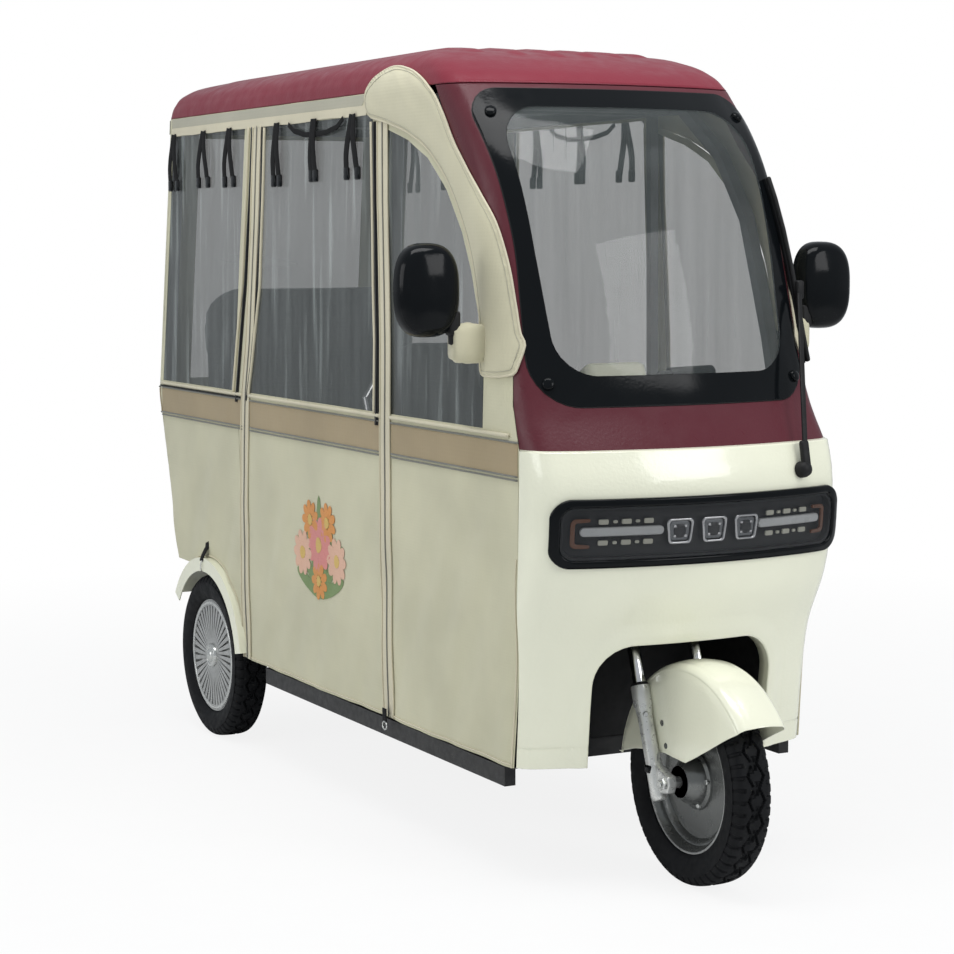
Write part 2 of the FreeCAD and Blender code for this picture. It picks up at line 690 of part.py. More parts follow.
def side_curtains(sign):
    slab = side_slab(sign, 0, CURTAIN_THICKNESS)
    pane = side_slab(sign, (CURTAIN_THICKNESS - WINDOW_THICKNESS) / 2, WINDOW_THICKNESS)
    top = EAVES_HEIGHT - SEAM_GAP
    low = box(-WIDE, WIDE, 0, FAR, 0, top)
    x0, x1 = (-WIDE, -100) if sign < 0 else (100, WIDE)
    windows = (front_window_outline(),
               window_outline(FRONT_ZIP, REAR_ZIP, WINDOW_MARGIN, WINDOW_MARGIN),
               window_outline(REAR_ZIP, REAR_SEAM, WINDOW_MARGIN, WINDOW_MARGIN / 2))
    panels = (front_panel_outline(), middle_panel_outline(), rear_panel_outline())
    curtains, panes = [], []
    arch = wheel_cut(x0, x1, REAR_GUARD_RADIUS + ARCH_GAP)
    slit = mirror_arm_slot()
    for outline, window in zip(panels, windows):
        opening = side_prism(window, x0, x1)
        curtain = slab.common(side_prism(outline, x0, x1)).common(low)
        curtains.append(curtain.cut(opening).cut(arch).cut(slit))
        panes.append(pane.common(opening).cut(slit))
    return curtains, panes


def back_band(height, inset, thickness):
    # The wall round the back of the cab at one height
    half, back = width_at(height) - inset, back_at(height) - inset
    radius = REAR_CORNER_RADIUS - inset

    def run(offset):
        r, h, b = radius - offset, half - offset, back - offset
        turn = r * (1 - math.sqrt(0.5))
        arcs = [Part.Arc(V(sign * h, y_at(b - r), height),
                         V(sign * (h - turn), y_at(b - turn), height),
                         V(sign * (h - r), y_at(b), height)) for sign in (-1, 1)]
        line = Part.LineSegment(V(r - h, y_at(b), height), V(h - r, y_at(b), height))
        return [arcs[0].toShape(), line.toShape(), arcs[1].toShape()]

    ends = []
    for sign in (-1, 1):
        a = V(sign * half, y_at(back - radius), height)
        b = V(sign * (half - thickness), y_at(back - radius), height)
        ends.append(Part.LineSegment(a, b).toShape())
    return Part.Wire(Part.__sortEdges__(run(0) + ends + run(thickness)))


def back_curtain():
    heights = (REAR_CURTAIN_BOTTOM, BELT_HEIGHT, EAVES_HEIGHT - SEAM_GAP)
    wall = Part.makeLoft([back_band(h, 0, CURTAIN_THICKNESS) for h in heights], True, True)
    skin = Part.makeLoft([back_band(h, (CURTAIN_THICKNESS - WINDOW_THICKNESS) / 2,
                                    WINDOW_THICKNESS) for h in heights], True, True)
    half = BACK_WINDOW_HALF
    opening = box(-half, half, 2000, FAR, WINDOW_SILL, WINDOW_HEAD)
    return wall.cut(opening), skin.common(opening)


def pillar_flap():
    shell = upper_solid(-1 - FLAP_THICKNESS).cut(upper_solid(-1))
    foot = line_at(PILLAR_LINE, FLAP_FOOT)
    outline = [(foot, FLAP_FOOT)]
    outline += [(s, z) for s, z in PILLAR_LINE if z > FLAP_FOOT]
    outline += [(s, EAVES_HEIGHT + rise) for s, rise in (
        (567, 22), (732, 50), (800, 32), (836, 0), (838, -35), (813, -56))]
    outline += list(reversed(FLAP_INNER))
    return shell.common(side_prism(outline, -WIDE, -200)).cut(mirror_arm_slot())


def cab_frame():
    side = FRAME_SIDE
    foot = FLOOR_HEIGHT + FLOOR_THICKNESS
    top = EAVES_HEIGHT - 30

    def point(x, station, height):
        return V(x, y_at(station), height)

    pieces = []
    rear = BACK_STATION - 60
    shoulder = upper_line([(285, 322), (335, 462), (440, 602)])
    for sign in (-1, 1):
        x = sign * (side - 8)
        a_pillar = [point(sign * side, 200, foot), point(sign * side, 200, BELT_HEIGHT),
                    point(sign * side, MIRROR_ARM_STATION, MIRROR_ARM_HEIGHT + ARM_DIAMETER / 2),
                    *(point(x, station, height) for station, height in shoulder), point(x, 600, top),
                    point(x, back_at(top) - 60, top), point(sign * side, rear, BELT_HEIGHT),
                    point(sign * side, back_at(DECK_HEIGHT) - 50, DECK_HEIGHT + FLOOR_THICKNESS)]
        pieces.append(square_tube(a_pillar, TUBE_DIAMETER))
        for station, low in ((FRONT_ZIP_BELT, foot),
                             (REAR_ZIP_BELT - 40, DECK_HEIGHT + FLOOR_THICKNESS)):
            pieces.append(square_tube([point(sign * side, station, low), point(x, station, top)],
                                      BOW_DIAMETER))
        rail = [point(sign * side, REAR_ZIP_BELT - 40, BELT_HEIGHT - 30),
                point(sign * side, rear + 4, BELT_HEIGHT - 30)]
        pieces.append(square_tube(rail, BOW_DIAMETER))
    for station in (640, FRONT_ZIP_BELT + 30, REAR_ZIP_BELT - 70, back_at(top) - 85):
        pieces.append(square_tube([point(8 - side, station, top), point(side - 8, station, top)],
                                  BOW_DIAMETER))
    return fused(pieces)


def chassis_frame():
    half = RAIL_SPREAD / 2
    low, high = RAIL_BOTTOM, RAIL_BOTTOM + RAIL_DEPTH
    rise = 100.0
    rail = [(LINER_BACK + 12, low), (KICK_STATION, low), (KICK_STATION + rise, low + KICK_UP),
            (CHASSIS_BACK, low + KICK_UP), (CHASSIS_BACK, high + KICK_UP),
            (KICK_STATION + rise - 25, high + KICK_UP), (KICK_STATION - 25, high),
            (LINER_BACK + 12, high)]
    pieces = [side_prism(rail, sign * half - RAIL_WIDTH / 2, sign * half + RAIL_WIDTH / 2)
              for sign in (-1, 1)]
    front = LINER_BACK + 12
    cross = 40.0
    for station, drop in ((front, 0), (FRONT_ZIP_BELT - cross / 2, 0), (1120, 0),
                          (KICK_STATION - 60, 0)):
        reach = FRAME_SIDE + TUBE_DIAMETER / 2
        pieces.append(box(-reach, reach, station, station + cross, high - cross, high))
    for station in (KICK_STATION + rise + 10, CHASSIS_BACK - cross):
        pieces.append(box(-half, half, station, station + cross, high + KICK_UP - cross,
                          high + KICK_UP))
    sill = FRAME_SIDE - TUBE_DIAMETER / 2
    for sign in (-1, 1):
        x = sorted((sign * sill, sign * (sill + TUBE_DIAMETER)))
        pieces.append(box(x[0], x[1], 186, KICK_STATION - 20, high - cross, high))
    neck_low = steer_point(LINER_TOP + 4)
    neck_high = neck_low + STEER_AXIS * HEAD_LENGTH
    head = rod(neck_low, neck_high, HEAD_TUBE_DIAMETER)
    for sign in (-1, 1):
        foot = V(sign * 60, y_at(front + 20), high - 10)
        knee = V(sign * 60, y_at(front + 20), 545)
        top = neck_low + STEER_AXIS * (HEAD_LENGTH * 0.62) + V(sign * 12, 6, 0)
        pieces.append(bent_tube([foot, knee, top], 32))
    pieces.append(head)
    brace = neck_low + STEER_AXIS * (HEAD_LENGTH * 0.8)
    tie_y = y_at(200)
    for sign in (-1, 1):
        end = V(sign * FRAME_SIDE, tie_y, 780)
        reach = end - brace
        reach.normalize()
        pieces.append(rod(brace, end - reach * (TUBE_DIAMETER / 2 - 2), 22))
    bumper_y = y_at(WHEELBASE + REAR_REACH) - 16
    bumper_z = RAIL_BOTTOM + KICK_UP - 50
    pieces.append(rod(V(-255, bumper_y, bumper_z), V(255, bumper_y, bumper_z), 32))
    for sign in (-1, 1):
        x = sign * half
        route = [V(x, y_at(CHASSIS_BACK - 20), low + KICK_UP + 16), V(x, bumper_y - 60, bumper_z),
                 V(x, bumper_y, bumper_z)]
        pieces.append(bent_tube(route, 28))
    pieces.append(box(-HITCH_WIDTH / 2, HITCH_WIDTH / 2, WHEELBASE + REAR_REACH - 16 - HITCH_PLATE,
                      WHEELBASE + REAR_REACH - 16, bumper_z, bumper_z + HITCH_HEIGHT))
    frame = fused(pieces)
    bore = rod(neck_low - STEER_AXIS * 5, neck_high + STEER_AXIS * 5, STEM_DIAMETER + 2 * BEARING_GAP)
    frame = frame.cut(bore)
    for sign in (-1, 1):
        hole = V(sign * HITCH_HOLE_PITCH / 2, y_at(WHEELBASE + REAR_REACH) - 60,
                 bumper_z + HITCH_HOLE_HEIGHT)
        frame = frame.cut(rod(hole, hole + V(0, 80, 0), HITCH_HOLE))
    return frame


def floor_pan():
    low = FLOOR_HEIGHT
    half = FLOOR_HALF_WIDTH
    thick = FLOOR_THICKNESS
    deck = DECK_HEIGHT
    front = LINER_BACK + 2
    rear = back_at(deck) - CURTAIN_THICKNESS - 3
    outline = [(front, low), (DECK_STATION, low), (DECK_STATION, deck), (rear, deck),
               (rear, deck + thick), (DECK_STATION - thick, deck + thick),
               (DECK_STATION - thick, low + thick), (front, low + thick)]
    pan = side_prism(outline, -half, half)
    corners = [e for e in pan.Edges if abs(e.tangentAt(e.FirstParameter).z) > 0.999
               and e.CenterOfMass.y > y_at(rear) - 1]
    pan = pan.makeFillet(REAR_CORNER_RADIUS, corners)
    toe = [box(*sorted((sign * (ARCH_HALF_WIDTH + 8), sign * half)), 165, front, low, low + thick)
           for sign in (-1, 1)]
    return fused([pan] + toe)


def seat_bases():
    low = FLOOR_HEIGHT + FLOOR_THICKNESS
    front, back = DRIVER_SEAT_FRONT + 25, DRIVER_SEAT_FRONT + DRIVER_SEAT_LENGTH
    half = DRIVER_SEAT_HALF - 15
    wall = 3.0

    def hollow_box(half, front, back, low, high):
        shell = box(-half, half, front, back, low, high)
        shell = round_along_z(shell, 28)
        core = box(wall - half, half - wall, front + wall, back - wall, low - 1, high - wall)
        return shell.cut(round_along_z(core, 25))

    driver = hollow_box(half, front, back, low, low + SEAT_BASE_HEIGHT)
    deck = DECK_HEIGHT + FLOOR_THICKNESS
    bench_back = BENCH_FRONT + BENCH_LENGTH + BACKREST_THICKNESS + 8
    bench = hollow_box(BENCH_HALF - 34, DECK_STATION + 20, bench_back, deck, deck + BENCH_BASE_HEIGHT)
    return driver, bench


def round_along_z(shape, radius):
    edges = [e for e in shape.Edges if abs(e.tangentAt(e.FirstParameter).z) > 0.999]
    return shape.makeFillet(radius, edges)


def cushion(half, front, length, low):
    pad = box(-half, half, front, front + length, low, low + CUSHION_THICKNESS)
    pad = round_along_z(pad, 40)
    rim = [e for e in pad.Edges if e.BoundBox.ZMin > low + CUSHION_THICKNESS - 1]
    return pad.makeChamfer(20, rim)


def backrest(half, station, low, top, corner):
    height = top - low
    pad = box(-half, half, station, station + BACKREST_THICKNESS, low, low + height)
    edges = [e for e in pad.Edges if abs(e.tangentAt(e.FirstParameter).y) > 0.999
             and e.CenterOfMass.z > low + 1]
    pad = pad.makeFillet(corner, edges)
    rim = [e for e in pad.Edges if e.BoundBox.YMax < y_at(station) + 1]
    pad = pad.makeChamfer(16, rim)
    pad.rotate(V(0, y_at(station), low), V(1, 0, 0), -BACKREST_LEAN)
    # The lean drops the back edge, so the pad is lifted by as much
    pad.translate(V(0, 0, BACKREST_THICKNESS * math.sin(math.radians(BACKREST_LEAN)) + SOFT_GAP))
    return pad


def battery_pack():
    low = FLOOR_HEIGHT + FLOOR_THICKNESS
    return box(-165, 165, DRIVER_SEAT_FRONT + 60, DRIVER_SEAT_FRONT + DRIVER_SEAT_LENGTH - 40,
               low, low + 210)


def handrail():
    # Curved grab rail behind the driver, on the seat base
    x, station = DRIVER_SEAT_HALF - 40, DRIVER_SEAT_FRONT + DRIVER_SEAT_LENGTH + 12.5 + SOFT_GAP
    low = FLOOR_HEIGHT + FLOOR_THICKNESS + 180
    top = 1010
    points = [V(-x, y_at(station), low), V(-x, y_at(station), 640), V(-x, y_at(station + 130), top - 80),
              V(-x + 60, y_at(station + 150), top), V(x - 60, y_at(station + 150), top),
              V(x, y_at(station + 130), top - 80), V(x, y_at(station), 640), V(x, y_at(station), low)]
    return bent_tube(points, 25)


def dashboard():
    # Its underside stays clear of the wheel well's liner
    foot = LINER_TOP + DASHBOARD_GAP
    outline = [(-35, foot), (150, foot)]
    outline += [(s, BELT_HEIGHT + rise) for s, rise in ((166, -8), (120, 70), (40, 70), (-20, 2))]
    console = side_prism(outline, -DASHBOARD_HALF, DASHBOARD_HALF)
    console = console.common(fairing_solid(PANEL_THICKNESS + 1).fuse(upper_solid(PANEL_THICKNESS + 1)))
    console = console.cut(box(-LAMP_BAR_HALF - 5, LAMP_BAR_HALF + 5, -200, 60,
                              LAMP_HEIGHT - LAMP_BAR_HEIGHT, LAMP_HEIGHT + LAMP_BAR_HEIGHT / 2 + 8))
    return console


def rear_guard():
    # Half-round mudguard with a turned-down outer face
    outer, inner = REAR_GUARD_RADIUS, REAR_GUARD_RADIUS - REAR_GUARD_THICKNESS
    x_out, x_in = -REAR_GUARD_HALF_WIDTH, -REAR_GUARD_HALF_WIDTH + 113
    drum = wheel_cut(x_out, x_in, outer)
    hollow = wheel_cut(x_out + REAR_GUARD_THICKNESS, x_in + 1, inner)
    face = wheel_cut(x_out - 1, x_out + REAR_GUARD_THICKNESS + 1, outer - REAR_GUARD_LIP)
    guard = drum.cut(hollow).cut(face)
    front, back = math.radians(10), math.radians(33)
    centre = (WHEELBASE, AXLE_HEIGHT)
    far = 600
    wedge = side_prism([centre, (centre[0] - far * math.cos(front), centre[1] + far * math.sin(front)),
                        (centre[0] - far, centre[1] + far), (centre[0] + far, centre[1] + far),
                        (centre[0] + far * math.cos(back), centre[1] + far * math.sin(back))],
                       -WIDE, 0)
    guard = guard.common(wedge)
    lug = box(x_in - 60, x_in - 25, WHEELBASE - 22, WHEELBASE + 22, AXLE_HEIGHT + outer - 3,
              DECK_HEIGHT)
    return fused([guard, lug])


def rear_panel():
    low, high = RAIL_BOTTOM + KICK_UP - 15, REAR_CURTAIN_BOTTOM - 2
    half = 250.0
    station = CHASSIS_BACK + 3
    panel = box(-half, half, station, station + 4, low - 30, high + 30)
    return round_along_y(panel, 20)


def tail_lamps():
    units = []
    for sign in (-1, 1):
        x = sign * TAIL_LAMP_X
        lens = box(x - 42, x + 42, CHASSIS_BACK + 7.3, CHASSIS_BACK + 29, 405, 447)
        rim = [e for e in lens.Edges if e.BoundBox.YMin > y_at(CHASSIS_BACK + 28)]
        units.append(lens.makeChamfer(6, rim))
    half_tall = MARKER_TALL / 2
    for sign in (-1, 1):
        x = sign * MARKER_X
        back = back_at(MARKER_HEIGHT)
        lamp = box(x - 17, x + 17, back - 12, back + 34, MARKER_HEIGHT - half_tall,
                   MARKER_HEIGHT + half_tall)
        rim = [e for e in lamp.Edges if e.BoundBox.YMin > y_at(back + 33)]
        lamp = lamp.makeChamfer(10, rim)
        units.append(lamp.cut(upper_solid(-SOFT_GAP)))
    return units


def rear_axle():
    centre_y, z = y_at(WHEELBASE), AXLE_HEIGHT
    tube = rod(V(-255, centre_y, z), V(255, centre_y, z), AXLE_TUBE_DIAMETER)
    motor = rod(V(-MOTOR_LENGTH / 2, centre_y, z), V(MOTOR_LENGTH / 2, centre_y, z), MOTOR_DIAMETER)
    pieces = [tube, motor]
    for sign in (-1, 1):
        x = sign * RAIL_SPREAD / 2
        drum = rod(V(sign * 252, centre_y, z), V(sign * DRUM_FACE, centre_y, z), DRUM_DIAMETER)
        stub_end = REAR_WHEEL_X + COVER_BACK - BEARING_GAP
        stub = rod(V(sign * 252, centre_y, z), V(sign * stub_end, centre_y, z), STUB_DIAMETER)
        pieces += [drum, stub]
        seat_top = z + AXLE_TUBE_DIAMETER / 2 + 10
        pieces.append(box(x - 34, x + 34, WHEELBASE - 50, WHEELBASE + 50, z,
                          seat_top + SPRING_LEAVES * SPRING_LEAF + 3))
        pieces.append(leaf_spring(x, seat_top))
    return fused(pieces)


def leaf_spring(x, seat):
    leaves = []
    span = SPRING_HALF_SPAN
    for i in range(SPRING_LEAVES):
        half = span * (1 - 0.26 * i)
        low = seat + (SPRING_LEAVES - 1 - i) * SPRING_LEAF
        rise = SPRING_CAMBER * (half / span) ** 2
        arcs = []
        for lift in (0, SPRING_LEAF):
            arcs.append([V(x - SPRING_WIDTH / 2, y_at(WHEELBASE) + t * half, low + lift + rise * t * t)
                         for t in (-1, 0, 1)])
        lower = Part.Arc(*arcs[0]).toShape()
        upper = Part.Arc(*arcs[1]).toShape()
        ends = [Part.LineSegment(arcs[0][k], arcs[1][k]).toShape() for k in (0, 2)]
        face = Part.Face(Part.Wire(Part.__sortEdges__([lower, ends[1], upper, ends[0]])))
        leaves.append(face.extrude(V(SPRING_WIDTH, 0, 0)))
    for k in (-1, 1):
        y = y_at(WHEELBASE) + k * (span - 6)
        eye_z = seat + (SPRING_LEAVES - 1) * SPRING_LEAF + SPRING_CAMBER + 6
        leaves.append(rod(V(x - SPRING_WIDTH / 2, y, eye_z), V(x + SPRING_WIDTH / 2, y, eye_z), 24))
        hanger_top = RAIL_BOTTOM + KICK_UP
        leaves.append(Part.makeBox(8, 22, hanger_top - eye_z, V(x - 4, y - 11, eye_z)))
    return fused(leaves)


def tyre():
    # Section of the tyre in axial offset and radius, turned about the axle
    outer, half = TYRE_DIAMETER / 2, TYRE_WIDTH / 2
    bead = outer - TYRE_SIDEWALL
    seat = half * BEAD_SHARE
    side = [(seat, bead), (half, outer - SHOULDER_DEPTH), (TREAD_HALF, outer)]
    return turned(side + [(-x, r) for x, r in side[::-1]])


def turned(points):
    # Closed section of axial offset and radius, turned about X
    wire = Part.makePolygon([V(x, 0, r) for x, r in points + points[:1]])
    return Part.Face(wire).revolve(V(0, 0, 0), V(1, 0, 0), 360)


def rim_barrel():
    bead = TYRE_DIAMETER / 2 - TYRE_SIDEWALL - SOFT_GAP
    half = TYRE_WIDTH / 2 * BEAD_SHARE + RIM_LIP
    return turned([(-half, bead), (half, bead), (half, bead - RIM_WALL), (-half, bead - RIM_WALL)])


def front_rim():
    bead = TYRE_DIAMETER / 2 - TYRE_SIDEWALL
    hub = HUB_DIAMETER / 2
    bore = AXLE_DIAMETER / 2 + BEARING_GAP
    disc = turned([(-3, bore), (3, bore), (3, bead - 3), (-3, bead - 3)])
    centre = turned([(-FRONT_HUB_HALF, bore), (FRONT_HUB_HALF, bore), (FRONT_HUB_HALF, hub),
                     (-FRONT_HUB_HALF, hub)])
    wheel = fused([rim_barrel(), disc, centre])
    for i in range(RIM_HOLES):
        angle = 2 * math.pi * i / RIM_HOLES
        place = V(-30, (hub + 46) * math.cos(angle), (hub + 46) * math.sin(angle))
        wheel = wheel.cut(Part.makeCylinder(13, 60, place, V(1, 0, 0)))
    return wheel


def rear_rim(sign):
    # Pressed wheel under a cover whose vanes run from the cap to the bright outer band
    bead = TYRE_DIAMETER / 2 - TYRE_SIDEWALL
    bore = STUB_DIAMETER / 2 + BEARING_GAP
    back = TYRE_WIDTH / 2 * BEAD_SHARE - COVER_DROP
    hub = turned([(-REAR_HUB_IN, bore), (-REAR_HUB_IN, 32), (COVER_BACK, 32), (COVER_BACK, bore)])
    disc = turned([(back - 3, 28), (back, 28), (back, bead - 3), (back - 3, bead - 3)])
    cap = turned([(COVER_BACK, 0), (COVER_BACK, COVER_CAP), (COVER_FACE + 3, COVER_CAP),
                  (COVER_FACE + 3, 0)])
    band = turned([(back, bead - 16), (COVER_FACE, bead - 16), (COVER_FACE, bead - 3),
                   (back, bead - 3)])
    vanes = []
    for i in range(COVER_VANES):
        vane = cover_vane(COVER_CAP - 2, bead - 15, back)
        vane.rotate(V(0, 0, 0), V(1, 0, 0), 360.0 * i / COVER_VANES)
        vanes.append(vane)
    wheel = fused([rim_barrel(), disc, hub, cap, band] + vanes)
    return wheel if sign > 0 else wheel.mirror(V(0, 0, 0), V(1, 0, 0))


def cover_vane(inner, outer, back):
    # Blade that widens outwards and sweeps back
    turn = math.radians(VANE_SWEEP)
    tip = V(back, -outer * math.sin(turn), outer * math.cos(turn))
    root = V(back, 0, inner)
    corners = [root + V(0, VANE_WIDTH * 0.2, 0), tip + V(0, VANE_WIDTH / 2, 0),
               tip - V(0, VANE_WIDTH / 2, 0), root - V(0, VANE_WIDTH * 0.2, 0)]
    return Part.Face(Part.makePolygon(corners + corners[:1])).extrude(V(COVER_FACE - back - 1, 0, 0))


def placed(shape, x, station, height):
    copy = shape.copy()
    copy.translate(V(x, y_at(station), height))
    return copy


def fork():
    pieces = []
    for side in (-1, 1):
        foot = fork_point(side, AXLE_HEIGHT - 42)
        collar = fork_point(side, 400)
        top = fork_point(side, CROWN_HEIGHT + CROWN_THICKNESS)
        pieces.append(rod(foot, collar, SLIDER_DIAMETER))
        pieces.append(rod(collar - STEER_AXIS * 18, collar + STEER_AXIS * 12, SLIDER_DIAMETER + 4))
        pieces.append(rod(collar, top, STANCHION_DIAMETER))
        pieces.append(rod(top - STEER_AXIS * CROWN_THICKNESS, top, STANCHION_DIAMETER + 18))
        lug_x = side * FORK_SPREAD / 2
        inner = side * (FORK_SPREAD / 2 - SLIDER_DIAMETER / 2 + 2)
        lug = side_prism([(-16, AXLE_HEIGHT - 20), (26, AXLE_HEIGHT - 26), (50, AXLE_HEIGHT - 18),
                          (62, AXLE_HEIGHT + 40), (40, AXLE_HEIGHT + 46), (-16, AXLE_HEIGHT + 20)],
                         *sorted((inner, lug_x + side * 8)))
        pieces.append(lug)
    axle_end = FORK_SPREAD / 2 + 12
    pieces.append(rod(V(-axle_end, y_at(0), AXLE_HEIGHT), V(axle_end, y_at(0), AXLE_HEIGHT),
                      AXLE_DIAMETER))
    for side in (-1, 1):
        pieces.append(rod(V(side * (FRONT_HUB_HALF + 2), y_at(0), AXLE_HEIGHT),
                          V(side * (FORK_SPREAD / 2), y_at(0), AXLE_HEIGHT), AXLE_DIAMETER + 8))
    stem_high = steer_point(HANDLEBAR_HEIGHT)
    legs = [fork_point(side, CROWN_HEIGHT + CROWN_THICKNESS) - STEER_AXIS * CROWN_THICKNESS
            for side in (-1, 1)]
    stem_low = (legs[0] + legs[1]) * 0.5 + V(0, math.cos(RAKE), -math.sin(RAKE)) * STEERING_SETBACK
    plate = [legs[0] + V(-6, 0, 0), legs[1] + V(6, 0, 0), stem_low + V(28, 0, 0),
             stem_low + V(-28, 0, 0)]
    crown = Part.Face(Part.makePolygon(plate + plate[:1])).extrude(STEER_AXIS * CROWN_THICKNESS)
    pieces.append(crown)
    pieces.append(rod(stem_low, stem_low + STEER_AXIS * (CROWN_THICKNESS + 6), STEM_DIAMETER + 20))
    pieces.append(rod(stem_low, stem_high, STEM_DIAMETER))
    return fused(pieces)


def handlebar():
    centre = steer_point(HANDLEBAR_HEIGHT)
    rise = centre + STEER_AXIS * 30
    half = HANDLEBAR_HALF
    points = [rise + V(-half, 55, 42), rise + V(-half + GRIP_LENGTH + 20, 38, 40), rise + V(-70, 0, 0),
              rise + V(70, 0, 0), rise + V(half - GRIP_LENGTH - 20, 38, 40), rise + V(half, 55, 42)]
    bar = bent_tube(points, HANDLEBAR_DIAMETER)
    pieces = [bar, rod(centre, rise + STEER_AXIS * 14, STEM_DIAMETER + 12)]
    for a, b in ((points[0], points[1]), (points[-1], points[-2])):
        along = b - a
        along.normalize()
        pieces.append(rod(a, a + along * GRIP_LENGTH, GRIP_DIAMETER))
        lever = a + along * (GRIP_LENGTH + 12)
        pieces.append(rod(lever - V(0, 0, 12), lever + V(0, -42, -6), 12))
        pieces.append(rod(lever + V(0, -42, -6), a + V(0, -62, -10), 9))
    return fused(pieces)


def instrument_pod():
    centre = steer_point(HANDLEBAR_HEIGHT) + STEER_AXIS * POD_RISE
    pod = Part.makeBox(150, 86, 46, V(-75, -50, 0))
    edges = [e for e in pod.Edges if abs(e.tangentAt(e.FirstParameter).z) > 0.999]
    pod = pod.makeFillet(22, edges)
    rim = [e for e in pod.Edges if e.BoundBox.ZMin > 45]
    pod = pod.makeChamfer(8, rim)
    pod.rotate(V(0, 0, 0), V(1, 0, 0), -28)
    pod.translate(centre)
    return pod.cut(handlebar())


def front_mudguard():
    # Deep guard turned to one radius over the front tyre, its side skirts cut away low down
    centre = V(0, y_at(FRONT_GUARD_STATION), FRONT_GUARD_HEIGHT)

    def drum(inset):
        half, radius = FRONT_GUARD_HALF_WIDTH - inset, FRONT_GUARD_RADIUS - inset
        bevel = FRONT_GUARD_BEVEL
        side = [(half, 0), (half, radius - bevel), (half - bevel * 0.3, radius - bevel * 0.3),
                (half - bevel, radius)]
        body = turned(side + [(-x, r) for x, r in side[::-1]])
        body.translate(centre)
        return body

    skirt = [(-FRONT_REACH, 362), (-200, 344), (-120, 302), (-40, 262), (40, 268), (150, 258),
             (223, 236), (400, 236), (400, 600), (-FRONT_REACH, 600)]
    return drum(0).cut(drum(FRONT_GUARD_THICKNESS)).common(side_prism(skirt, -WIDE, WIDE))


def export(node, shape):
    if isinstance(shape, list):
        shape = Part.makeCompound(shape)
    solids = shape.Solids
    bad = [s for s in solids if not s.isValid()]
    print(node, "solids", len(solids), "volume", round(sum(s.Volume for s in solids)), "bad", len(bad))
    shape = solids[0] if len(solids) == 1 else Part.makeCompound(solids)
    shape.exportStep("parts/" + node + ".step")


os.makedirs("parts", exist_ok=True)

fairing_outer, fairing_inner = fairing_solid(0), fairing_solid(PANEL_THICKNESS)
upper_outer, upper_inner = upper_solid(0), upper_solid(PANEL_THICKNESS)

chassis = chassis_frame()
floor = floor_pan().cut(chassis)
cab = cab_frame().cut(floor)
export("chassis_frame", chassis.cut(cab))
export("cab_frame", cab)
export("floor_pan", floor)
export("front_fairing", front_fairing(fairing_outer, fairing_inner))
export("wheel_well_liner", wheel_well_liner())
export("windshield_surround", windshield_surround(upper_outer, upper_inner))
export("windshield_border", windshield_border())
export("windshield_glass", windshield_glass())
export("roof_panel", roof_panel(upper_outer, upper_inner))
export("headliner", headliner())
export("lamp_bezel", lamp_bezel())
export("lamp_lens", lamp_lens())
export("lamp_units", lamp_units())
export("wiper", wiper())

housings, glasses = mirror_pair()
export("mirror_housings", [housing.cut(cab) for housing in housings])
export("mirror_glasses", glasses)

panes = []
for sign, side in ((-1, "right"), (1, "left")):
    curtains, side_panes = side_curtains(sign)
    panes += side_panes
    for name, curtain in zip(("front", "middle", "rear"), curtains):
        export("curtain_" + side + "_" + name, curtain)
back, back_pane = back_curtain()
export("curtain_back", back)
export("curtain_windows", panes + [back_pane])
export("pillar_flaps", both_sides(pillar_flap()))

driver_base, bench_base = seat_bases()
cushion_low = FLOOR_HEIGHT + FLOOR_THICKNESS + SEAT_BASE_HEIGHT
bench_low = DECK_HEIGHT + FLOOR_THICKNESS + BENCH_BASE_HEIGHT
export("driver_seat_base", driver_base)
export("bench_base", bench_base)
export("driver_cushion", cushion(DRIVER_SEAT_HALF, DRIVER_SEAT_FRONT, DRIVER_SEAT_LENGTH - 95,
                                 cushion_low))
export("bench_cushion", cushion(BENCH_HALF, BENCH_FRONT, BENCH_LENGTH, bench_low))
export("driver_backrest", backrest(DRIVER_SEAT_HALF - 10, DRIVER_SEAT_FRONT + DRIVER_SEAT_LENGTH - 92,
                                   cushion_low, DRIVER_BACKREST_TOP, 90))
export("bench_backrest", backrest(BENCH_HALF, BENCH_FRONT + BENCH_LENGTH + 2, bench_low,
                                  BENCH_BACKREST_TOP, 110))
export("battery_pack", battery_pack())
export("handrail", handrail())
export("dashboard", dashboard())
export("rear_mudguards", both_sides(rear_guard()))
export("rear_panel", rear_panel().cut(chassis))
export("tail_lamps", tail_lamps())
export("rear_axle", rear_axle().cut(chassis))
export("fork", fork())
export("handlebar", handlebar())
export("instrument_pod", instrument_pod())
export("front_mudguard", front_mudguard())
export("front_rim", placed(front_rim(), 0, 0, AXLE_HEIGHT))
export("front_tyre", placed(tyre(), 0, 0, AXLE_HEIGHT))
for sign, side in ((-1, "right"), (1, "left")):
    x = sign * REAR_WHEEL_X
    export("rear_rim_" + side, placed(rear_rim(sign), x, WHEELBASE, AXLE_HEIGHT))
    export("rear_tyre_" + side, placed(tyre(), x, WHEELBASE, AXLE_HEIGHT))
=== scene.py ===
import json
import math

import bmesh
import bpy
import numpy as np
from mathutils import Matrix, Vector, noise
from mathutils.geometry import delaunay_2d_cdt


